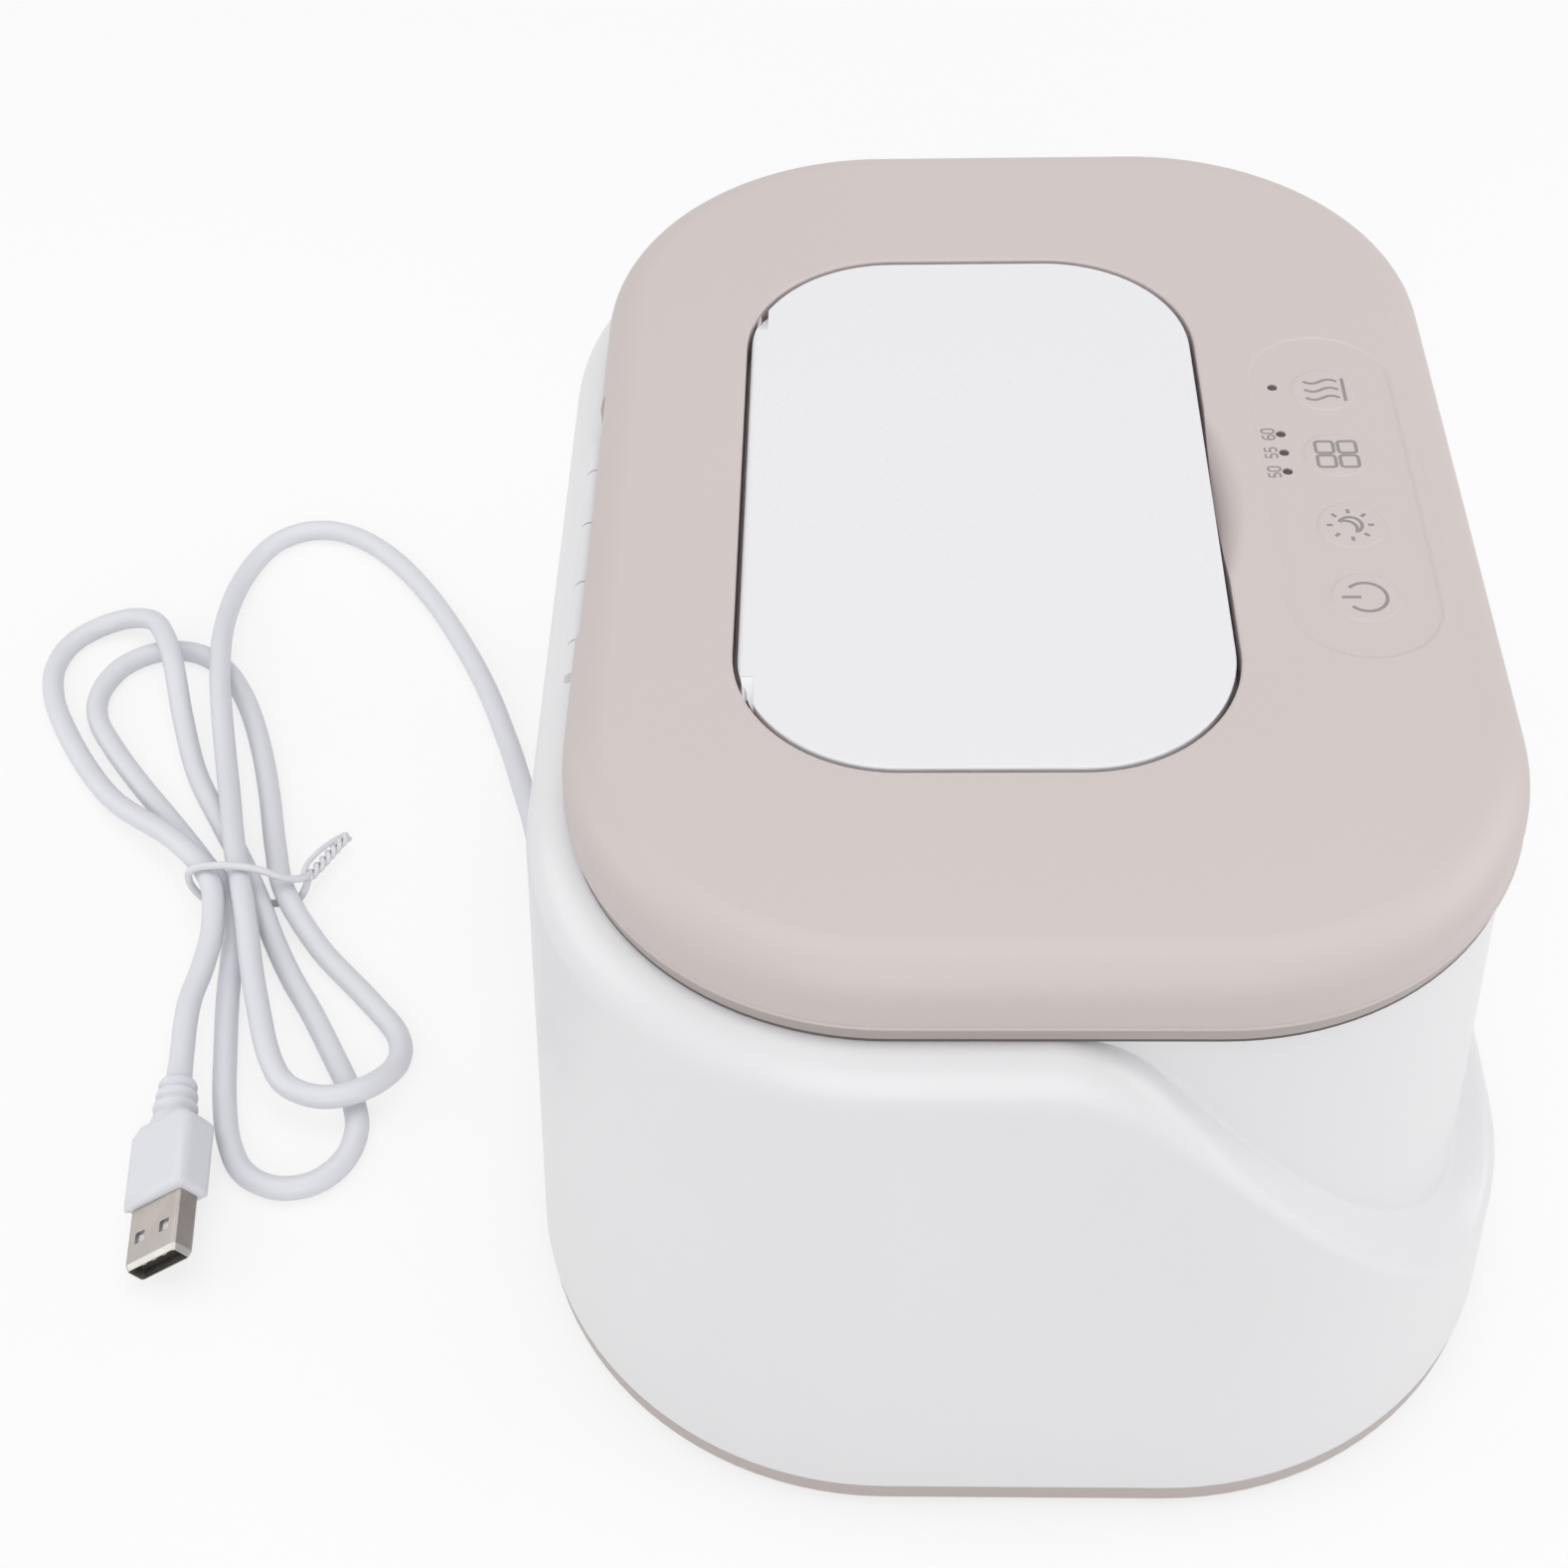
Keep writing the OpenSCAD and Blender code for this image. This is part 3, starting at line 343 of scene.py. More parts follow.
def wire(name, points, diameter, sides=4):
    """A round curve through points that are already in place."""
    curve = bpy.data.curves.new(name, "CURVE")
    curve.dimensions = "3D"
    curve.bevel_depth = diameter / 2
    curve.bevel_resolution = sides
    curve.use_fill_caps = True
    line = curve.splines.new("POLY")
    line.points.add(len(points) - 1)
    for spot, point in zip(line.points, points):
        spot.co = (*mm(point), 1)
    line.use_smooth = True
    piece = bpy.data.objects.new(name, curve)
    bpy.context.scene.collection.objects.link(piece)
    return piece


# ---------- finishes ----------

def feed(tree, socket, value):
    """Sets an input, or links it to another node's output."""
    if isinstance(value, bpy.types.NodeSocket):
        tree.links.new(value, socket)
    else:
        socket.default_value = value


def node(tree, kind, links=(), **values):
    """A node with its settings, its inputs by name, and its links by name or number."""
    made = tree.nodes.new(kind)
    for key, value in values.items():
        if hasattr(made, key):
            setattr(made, key, value)
        else:
            made.inputs[key].default_value = value
    for to, source in dict(links).items():
        tree.links.new(source, made.inputs[to])
    return made


def noise(tree, coords, detail, scale, **values):
    made = node(tree, "ShaderNodeTexNoise", {"Vector": coords}, Detail=detail, **values)
    feed(tree, made.inputs["Scale"], scale)
    return made.outputs["Fac"]


def maths(tree, operation, *values):
    made = node(tree, "ShaderNodeMath", operation=operation)
    for socket, value in zip(made.inputs, values):
        feed(tree, socket, value)
    return made.outputs[0]


def blend(tree, factor, a, b):
    made = node(tree, "ShaderNodeMix", data_type="RGBA")
    for slot, value in ((0, factor), (6, a), (7, b)):
        feed(tree, made.inputs[slot], value)
    return made.outputs[2]


def pattern_group(name, draw, **inputs):
    """A shared group that draws a colour, a roughness and a height from Object coordinates."""
    group = bpy.data.node_groups.new(name, "ShaderNodeTree")
    for title, value in inputs.items():
        kind = "NodeSocketColor" if isinstance(value, tuple) else "NodeSocketFloat"
        group.interface.new_socket(title, in_out="INPUT", socket_type=kind).default_value = value
    given = group.nodes.new("NodeGroupInput").outputs
    outputs = (("Colour", "NodeSocketColor"), ("Roughness", "NodeSocketFloat"), ("Height", "NodeSocketFloat"))
    for title, kind in outputs:
        group.interface.new_socket(title, in_out="OUTPUT", socket_type=kind)
    put = group.nodes.new("NodeGroupOutput").inputs
    coords = group.nodes.new("ShaderNodeTexCoord").outputs["Object"]
    for (title, _), source in zip(outputs, draw(group, coords, given)):
        group.links.new(source, put[title])
    return group


def moulded(group, coords, given):
    """Moulded plastic: fine spark grain, slow drift of colour and gloss, and a few specks of dust."""
    drift = noise(group, coords, 1, 14)
    grain = noise(group, coords, 2, given["Grain"])
    specks = maths(group, "GREATER_THAN", noise(group, coords, 0, 900), 0.8)
    tone = blend(group, drift, given["Colour"], given["Shade"])
    tone = blend(group, maths(group, "MULTIPLY", specks, given["Dust"]), tone, given["Shade"])
    rough = maths(group, "MULTIPLY_ADD", grain, 0.1, given["Gloss"])
    return tone, maths(group, "MULTIPLY_ADD", drift, 0.05, rough), grain


def drawn(group, coords, given):
    """Rolled or drawn metal: fine streaks along one axis and faint stains."""
    stretched = node(group, "ShaderNodeMapping", {"Vector": coords}, Scale=(0.06, 1, 1)).outputs[0]
    streak = noise(group, stretched, 3, given["Streak"])
    tone = blend(group, noise(group, coords, 3, 260), given["Colour"], given["Stain"])
    return tone, maths(group, "MULTIPLY_ADD", streak, 0.22, given["Gloss"]), streak


def printed(group, coords, given):
    """Circuit board or heater film: tracks, pads and clear ground between them."""
    cells = node(group, "ShaderNodeTexVoronoi", {"Vector": coords, "Scale": given["Pitch"]},
                 distance="CHEBYCHEV", feature="F1").outputs["Distance"]
    track = maths(group, "GREATER_THAN", cells, 0.42)
    tone = blend(group, track, given["Ground"], given["Track"])
    return tone, maths(group, "MULTIPLY_ADD", noise(group, coords, 2, 1500), 0.12, given["Gloss"]), track


def felted(group, coords, given):
    """Needled felt: matted fibres."""
    mat = noise(group, coords, 6, given["Fibre"], Distortion=2.5)
    tone = blend(group, mat, given["Shade"], given["Colour"])
    return tone, maths(group, "MULTIPLY_ADD", mat, 0.15, 0.82), mat


def material(name, group, relief, depth, inputs, **shader):
    """A finish: a pattern group feeding the shader, with the shader's own constants."""
    made = bpy.data.materials.new(name)
    made.use_nodes = True
    tree = made.node_tree
    pattern = node(tree, "ShaderNodeGroup", node_tree=group)
    for key, value in inputs.items():
        pattern.inputs[key].default_value = (*value, 1) if isinstance(value, tuple) else value
    bump = node(tree, "ShaderNodeBump", {"Height": pattern.outputs["Height"]},
                Strength=relief, Distance=depth * MM)
    principled = tree.nodes["Principled BSDF"].inputs
    tree.links.new(pattern.outputs["Colour"], principled["Base Color"])
    tree.links.new(pattern.outputs["Roughness"], principled["Roughness"])
    tree.links.new(bump.outputs["Normal"], principled["Normal"])
    for key, value in shader.items():
        principled[key.replace("_", " ")].default_value = value
    return made


def shade_of(tone, factor):
    return tuple(c * factor for c in tone)


def make_finishes():
    """Every finish by its slot in the record."""
    tones = bpy.context.scene.warmer_colours
    plain = (1, 1, 1, 1)
    skin = pattern_group("Moulded skin", moulded, Colour=plain, Shade=plain, Gloss=0.4, Grain=3000.0,
                         Dust=0.3)
    rolled = pattern_group("Drawn metal", drawn, Colour=plain, Stain=plain, Gloss=0.25, Streak=900.0)
    tracks = pattern_group("Printed tracks", printed, Ground=(0, 0.1, 0, 1), Track=(0, 0.2, 0, 1),
                           Pitch=300.0, Gloss=0.3)
    felt = pattern_group("Felted fibres", felted, Colour=plain, Shade=plain, Fibre=1200.0)

    def plastic(name, tone, gloss, grain=2600, relief=0.25, depth=0.02, dust=0.15, shade=0.955, **more):
        return material(name, skin, relief, depth,
                        {"Colour": tuple(tone), "Shade": shade_of(tone, shade), "Gloss": gloss,
                         "Grain": grain, "Dust": dust}, **more)

    def metal(name, tone, stain, gloss, streak=900):
        return material(name, rolled, 0.2, 0.01,
                        {"Colour": tone, "Stain": stain, "Gloss": gloss, "Streak": streak}, Metallic=1.0)

    def film(name, relief, depth, ground, track, pitch, gloss):
        return material(name, tracks, relief, depth,
                        {"Ground": ground, "Track": track, "Pitch": pitch, "Gloss": gloss})

    return {
        "white_housing": plastic("Housing white", tones.housing, 0.26, Coat_Weight=0.12, Coat_Roughness=0.2),
        "taupe_trim": plastic("Trim taupe", tones.trim, 0.34),
        "lid_plastic": plastic("Lid pink-beige", tones.lid, 0.38, grain=3400, relief=0.35),
        "flap_plastic": plastic("Flap white", tones.flap, 0.22, relief=0.15, Coat_Weight=0.2,
                                Coat_Roughness=0.12),
        "tub_plastic": plastic("Tub white", (0.8, 0.8, 0.8), 0.3),
        "foot_rubber": plastic("Foot rubber", (0.2, 0.19, 0.185), 0.7, grain=1500, relief=0.5),
        "seal_silicone": plastic("Seal silicone", (0.66, 0.66, 0.66), 0.45, relief=0.2, Sheen_Weight=0.15),
        "plated_steel": metal("Plated steel", (0.6, 0.61, 0.63), (0.5, 0.5, 0.52), 0.25),
        "heater_film": film("Heater film", 0.4, 0.05, (0.5, 0.2, 0.05), (0.32, 0.12, 0.04), 220, 0.3),
        "spreader_aluminium": metal("Spreader aluminium", (0.72, 0.73, 0.75), (0.62, 0.62, 0.64), 0.35),
        "insulation_felt": material("Insulation felt", felt, 0.8, 0.3,
                                    {"Colour": (0.7, 0.66, 0.57), "Shade": (0.5, 0.46, 0.38), "Fibre": 1200},
                                    Sheen_Weight=0.3),
        "black_plastic": plastic("Black plastic", (0.018, 0.018, 0.02), 0.4, dust=0.05, shade=0.7),
        "board_laminate": film("Board laminate", 0.5, 0.04, (0.012, 0.14, 0.055), (0.02, 0.22, 0.09),
                               380, 0.28),
        "light_laminate": film("Light laminate", 0.5, 0.04, (0.78, 0.78, 0.76), (0.66, 0.66, 0.64),
                               300, 0.35),
        "led_resin": plastic("Light resin", (0.03, 0.022, 0.02), 0.2, dust=0.05, relief=0.1,
                             Coat_Weight=0.5, Coat_Roughness=0.05),
        "cord_jacket": plastic("Cord jacket", tones.cord, 0.36, grain=1800, relief=0.3, shade=0.97),
        "tie_plastic": plastic("Tie wire", (0.76, 0.76, 0.79), 0.3, grain=1500, relief=0.4),
        "plug_steel": metal("Plug nickel", (0.43, 0.395, 0.37), (0.33, 0.3, 0.28), 0.22, 1400),
        # the shell's end in a lighter copy of the plug metal, on the same plug_steel slot
        "plug_mouth": metal("Lighter mouth", (0.56, 0.54, 0.52), (0.48, 0.46, 0.44), 0.3, 1400),
        "contact_brass": metal("Contact brass", (0.72, 0.5, 0.2), (0.62, 0.42, 0.16), 0.2),
        # the trim darkened for the band: painted shade under the lid's overhang, on the same taupe_trim slot
        # as the base ring
        "band": plastic("Band taupe with painted shade", shade_of(tones.trim, 0.86), 0.34),
        # painted gap shadow: a near-black copy of the trim for the thin ring under the band, where there is
        # only shade
        "bead": plastic("Painted gap shadow", shade_of(tones.trim, 0.25), 0.6),
        "marks": plastic("Printed grey", tones.mark, 0.5, grain=4000, dust=0, shade=0.93),
    }


FINISHES = {}


# ---------- stage ----------

CAMERA_AT = (-0.28433, 0.02556, 0.36477)
CAMERA_AXES = ((0.01974, -0.99950, -0.02480), (0.73809, -0.00216, 0.67472), (-0.67443, -0.03162, 0.73767))
CAMERA_LENS, SENSOR = 55.44, 36
LAMPS_LOOK_AT = (0, 0, 0.06)
# name, place, size, watts
LAMPS = (
    ("top softbox", (0.10, 0.02, 1.10), 1.0, 4.6),
    ("left softbox", (0.10, 1.00, 0.55), 0.8, 2.6),
    ("right softbox", (0.05, -1.00, 0.55), 0.8, 3.8),
    ("front softbox", (-1.10, 0.05, 0.55), 1.0, 5.0),
)
# the floor and the surroundings: how light they look, and how much light they give
FLOOR_GLOW, FLOOR_SHADOW, FLOOR_BOUNCE = 0.735, 0.24, 0.82
WORLD_SEEN, WORLD_LIGHT = 0.96, 0.4


def grey(level):
    return (level, level, level, 1)


class WARMER_OT_stage(bpy.types.Operator):
    """Camera at the photograph's angle, pale floor, soft lamps and white surroundings"""
    bl_idname = "warmer.stage"
    bl_label = "Stage"

    def execute(self, context):
        scene = context.scene
        camera = bpy.data.cameras.new("photo camera")
        camera.lens, camera.sensor_width = CAMERA_LENS, SENSOR
        camera.clip_start, camera.clip_end = 0.01, 20
        holder = bpy.data.objects.new("photo camera", camera)
        holder.matrix_world = Matrix.Translation(CAMERA_AT) @ Matrix(CAMERA_AXES).transposed().to_4x4()
        scene.collection.objects.link(holder)
        scene.camera = holder
        only()
        bpy.ops.mesh.primitive_plane_add(size=12, location=(0, 0, 0))
        floor = bpy.context.object
        floor.name = "floor"
        floor.data.materials.append(self.floor_finish())
        for name, place_at, size, watts in LAMPS:
            lamp = bpy.data.lights.new(name, "AREA")
            lamp.shape, lamp.size, lamp.energy = "SQUARE", size, watts
            stand = bpy.data.objects.new(name, lamp)
            stand.location = place_at
            aim = Vector(LAMPS_LOOK_AT) - Vector(place_at)
            stand.rotation_euler = aim.to_track_quat("-Z", "Y").to_euler()
            scene.collection.objects.link(stand)
        self.surroundings(scene)
        scene.view_settings.view_transform = "Standard"
        return {"FINISHED"}

    @staticmethod
    def seen_directly(tree):
        """One for what the camera, a mirror or glass sees, nought for light that falls on things."""
        path = tree.nodes.new("ShaderNodeLightPath").outputs
        seen = maths(tree, "MAXIMUM", path["Is Camera Ray"], path["Is Glossy Ray"])
        return maths(tree, "MAXIMUM", seen, path["Is Transmission Ray"])

    def floor_finish(self):
        made = bpy.data.materials.new("Pale floor")
        made.use_nodes = True
        tree = made.node_tree
        tree.nodes.remove(tree.nodes["Principled BSDF"])
        bounce = node(tree, "ShaderNodeBsdfDiffuse", Color=grey(FLOOR_BOUNCE))
        shadow = node(tree, "ShaderNodeBsdfDiffuse", Color=grey(FLOOR_SHADOW))
        glow = node(tree, "ShaderNodeEmission", Color=grey(1), Strength=FLOOR_GLOW)
        shown = node(tree, "ShaderNodeAddShader", {0: shadow.outputs[0], 1: glow.outputs[0]})
        mix = node(tree, "ShaderNodeMixShader",
                   {0: self.seen_directly(tree), 1: bounce.outputs[0], 2: shown.outputs[0]})
        tree.links.new(mix.outputs[0], tree.nodes["Material Output"].inputs["Surface"])
        return made

    def surroundings(self, scene):
        world = bpy.data.worlds.new("white surroundings")
        scene.world = world
        world.use_nodes = True
        tree = world.node_tree
        back = tree.nodes["Background"].inputs
        back["Color"].default_value = grey(1)
        gain = WORLD_SEEN - WORLD_LIGHT
        strength = maths(tree, "MULTIPLY_ADD", self.seen_directly(tree), gain, WORLD_LIGHT)
        tree.links.new(strength, back["Strength"])


# ---------- cord, tie and plug ----------

class WARMER_OT_cord(bpy.types.Operator):
    """The cord from its gland, round the loops and on to the plug"""
    bl_idname = "warmer.cord"
    bl_label = "Cord"

    def execute(self, context):
        gauge = context.scene.warmer_sizes.cord
        low = CORD_D / 2
        path = [(p.x, p.y, max(p.z, low)) for p in spline([(*p, low)[:3] for p in CORD_ROUTE], 6)]
        cord = wire("cord", path, gauge, 5)
        dress(cord, "cord_jacket", "body", None, "cord_lead", "cord_hank", "cord_tail")
        return {"FINISHED"}


class WARMER_OT_tie(bpy.types.Operator):
    """The twist tie round the five strands, with its twisted tails"""
    bl_idname = "warmer.tie"
    bl_label = "Cord tie"

    HALF_TURNS, TWIST_R = 7, 0.62

    def execute(self, context):
        gauge = context.scene.warmer_sizes.tie
        ring = wire("tie_ring", spline(TIE_RING, 8), gauge, 3)
        dress(ring, "tie_plastic", "body", None, "cord_tie")
        line = spline(TIE_TWIST, 16)
        last = len(line) - 1
        for name, phase in (("tie_twist_a", 0), ("tie_twist_b", math.pi)):
            strand = []
            for k, spot in enumerate(line):
                way = (line[min(k + 1, last)] - line[max(k - 1, 0)]).normalized()
                side = way.cross(Vector((0, 0, 1))).normalized()
                turn = phase + self.HALF_TURNS * math.pi * k / last
                out = side * math.cos(turn) + side.cross(way) * math.sin(turn)
                strand.append(spot + out * self.TWIST_R)
            dress(wire(name, strand, gauge * 0.75, 3), "tie_plastic", "body")
        dress(wire("tie_loop", spline(TIE_LOOP, 8), gauge * 0.7, 3), "tie_plastic", "body")
        return {"FINISHED"}


class WARMER_OT_plug(bpy.types.Operator):
    """The plug's moulded body with its ribbed strain relief, and its metal shell"""
    bl_idname = "warmer.plug"
    bl_label = "Plug"

    # distance from the shell's root along the plug, radius
    RELIEF = (
        (-15.5, 4.2), (-17.3, 4.15), (-17.9, 3.9), (-18.3, 3.45), (-18.7, 3.3), (-19.1, 3.5), (-19.4, 3.9),
        (-20, 4.05), (-20.6, 3.95), (-21, 3.55), (-21.4, 3.2), (-21.8, 3.35), (-22.1, 3.7), (-22.7, 3.8),
        (-23.2, 3.7), (-23.6, 3.3), (-24, 3.05), (-24.3, 3.2), (-24.6, 3.45), (-25.1, 3.5), (-25.6, 3.3),
        (-26, 2.9), (-26.2, 2.35), (-30.45, 2.25))
    BODY_L, BODY_W, BODY_T = 17.2, 14.4, 8
    SHOULDER_CUT, EDGE_R, CORNER_R = 2.3, 1.9, 1.2
    SHELL_L, SHELL, MOUTH = 12, (12, 4.5, 0.7), 1.1         # the mouth is the shell's end, in a lighter copy of the shell's metal
    MOUTH_SHRINK = (1, 0.94, 0.84)
    WINDOW_X, WINDOW_Y, WINDOW = 6.3, 2.9, (2.2, 2.2)
    # from and to along the plug, width, thickness, rounding, level
    INSIDE = (0.3, 13, 10.9, 3.4, 0.4)
    TONGUE = (0.4, 10.2, 10.8, 1.4, 0.15, -0.95)
    INSERT = (0.4, 8.3, 10.8, 0.6, 0.15, 1.2)

    def execute(self, context):
        stand = (Matrix.Translation(mm(PLUG_AT)) @ Matrix.Rotation(math.radians(PLUG_TURN), 4, "Z")
                 @ Matrix.Rotation(math.radians(PLUG_ROLL), 4, "X"))
        tongue = self.bar("plug_tongue_pad", *self.TONGUE)
        insert = self.bar("plug_insert", *self.INSERT)
        for piece, finish, slot, *nodes in (
                (self.moulding(), "cord_jacket", None, "plug_body"),
                (self.can(), "plug_steel", None, "plug_shell"),
                (self.mouth(), "plug_mouth", "plug_steel"),
                (tongue, "black_plastic", None, "plug_tongue"),
                (insert, "cord_jacket", None)):
            tidy_mesh(piece)
            piece.matrix_world = stand
            smooth(place(piece), 40)
            dress(piece, finish, "body", slot, *nodes)
        return {"FINISHED"}

    def moulding(self):
        half = self.BODY_T / 2
        body = block("plug_moulding", (-self.BODY_L / 2, 0.1), (self.BODY_L, self.BODY_W), 0, -half, half)
        # slanted shoulders towards the cord, then all edges softened
        back = (0.2 - self.BODY_L) * MM
        soften(body, lambda e: upright(e) and e.verts[0].co.x < back, self.SHOULDER_CUT * MM, 1)
        soften(body, lambda e: not upright(e), self.EDGE_R * MM, 5)
        soften(body, lambda e: upright(e) and e.calc_face_angle(0) > 0.3, self.CORNER_R * MM, 3)
        relief = lathe("relief", (0, 0, 0), self.RELIEF, (1, 0, 0), 40, rotation=(0, -math.pi / 2, 0))
        carve(body, relief, "UNION")
        return body

    def can(self):
        can = self.bar("plug_can", -1, self.SHELL_L - self.MOUTH, *self.SHELL)
        carve(can, self.bar("inside", *self.INSIDE))
        for side in (-1, 1):
            carve(can, block("window", (self.WINDOW_X, side * self.WINDOW_Y), self.WINDOW, 0.2, -3, 3, 3))
        return can

    def mouth(self):
        """The shell's mouth, drawn in a little, in a lighter copy of the shell's metal."""
        mouth = self.bar("plug_mouth", self.SHELL_L - self.MOUTH, self.SHELL_L, *self.SHELL)
        edit(mouth)
        pick(mouth, "FACE", lambda face: face.normal.x > 0.9)
        bpy.ops.transform.resize(value=self.MOUTH_SHRINK, center_override=(0, 0, 0))
        only(mouth)
        carve(mouth, self.bar("inside", *self.INSIDE))
        return mouth

    @staticmethod
    def bar(name, x0, x1, wide, thick, radius, level=0):
        """A block along the plug with rounded long edges."""
        piece = block(name, ((x0 + x1) / 2, 0), (x1 - x0, wide), 0, level - thick / 2, level + thick / 2)
        soften(piece, lambda e: abs(e.verts[0].co.x - e.verts[1].co.x) > 1e-6, radius * MM, 4)
        return piece


# ---------- housing ----------

def outer_r(z):
    return WALL_FOOT_R - z * DRAFT


def ledge_line(y):
    """Height of the ledge on a plane at y: level in front, a long slope, then the shoulder."""
    if y >= LEDGE_TOP_Y:
        return RIM_Z
    turn_y = LEDGE_TOP_Y - LEDGE_TOP_R * math.sin(LEDGE_SLOPE)
    turn_z = RIM_Z - LEDGE_TOP_R * (1 - math.cos(LEDGE_SLOPE))
    if y >= turn_y:
        return RIM_Z - LEDGE_TOP_R + math.sqrt(LEDGE_TOP_R ** 2 - (y - LEDGE_TOP_Y) ** 2)
    foot_drop = LEDGE_FOOT_R * (1 - math.cos(LEDGE_SLOPE))
    foot_y = turn_y - (turn_z - LEDGE_Z - foot_drop) / math.tan(LEDGE_SLOPE)
    centre_y = foot_y - LEDGE_FOOT_R * math.sin(LEDGE_SLOPE)
    if y >= foot_y:
        return turn_z + (y - turn_y) * math.tan(LEDGE_SLOPE)
    if y > centre_y:
        return LEDGE_Z + LEDGE_FOOT_R - math.sqrt(LEDGE_FOOT_R ** 2 - (y - centre_y) ** 2)
    return LEDGE_Z


def ledge_height(base_y, way_y, inset):
    """Where a wall going up at this place meets the ledge's line."""
    low, high = LEDGE_Z, RIM_Z
    for _ in range(40):
        z = (low + high) / 2
        if ledge_line(base_y + (outer_r(z) - inset) * way_y) > z:
            low = z
        else:
            high = z
    return (low + high) / 2


def rounded_path(corners):
    """A closed section through corners (r, z, radius, arc steps, straight steps, share of the next edge)."""
    spots = [Vector(c[:2]) for c in corners]
    ahead = [b - a for a, b in zip(spots, spots[1:] + spots[:1])]
    cuts = []
    for i, (_, _, radius, _, _, share) in enumerate(corners):
        back = -ahead[i - 1]
        half = back.angle(ahead[i]) / 2
        reach = min(radius / math.tan(half), share * ahead[i].length, (1 - corners[i - 1][5]) * back.length)
        cuts.append((back.normalized() * reach, ahead[i].normalized() * reach, half))
    path = []
    for i, (_, _, radius, arcs, straights, _) in enumerate(corners):
        into, out, half = cuts[i]
        if radius:
            for k in range(arcs + 1):
                t = k / arcs
                # a conic through both tangent points, weighted to a circle's arc
                a, b, c = (1 - t) ** 2, 2 * t * (1 - t) * math.sin(half), t ** 2
                path.append((spots[i] + into) * (a / (a + b + c)) + spots[i] * (b / (a + b + c))
                            + (spots[i] + out) * (c / (a + b + c)))
        else:
            path.append(spots[i].copy())
        start = path[-1]
        after = (i + 1) % len(corners)
        end = spots[after] + cuts[after][0] * (1 if corners[after][2] else 0)
        for k in range(1, straights + 1):
            path.append(start.lerp(end, k / (straights + 1)))
    return path


def around(corner_steps, end_steps, side_steps):
    """Places round the body: base point and outward direction of each column."""
    corners = [(sx * CORNER_X, sy * CORNER_Y) for sx, sy in ((1, 1), (-1, 1), (-1, -1), (1, -1))]
    columns = []
    for quarter, (x, y) in enumerate(corners):
        turn = quarter * math.pi / 2
        for k in range(corner_steps):
            angle = turn + math.pi / 2 * k / corner_steps
            columns.append((x, y, math.cos(angle), math.sin(angle)))
        angle = turn + math.pi / 2
        next_x, next_y = corners[(quarter + 1) % 4]
        steps = end_steps if quarter % 2 else side_steps
        columns += [(x + (next_x - x) * k / steps, y + (next_y - y) * k / steps,
                     math.cos(angle), math.sin(angle)) for k in range(steps)]
    return columns


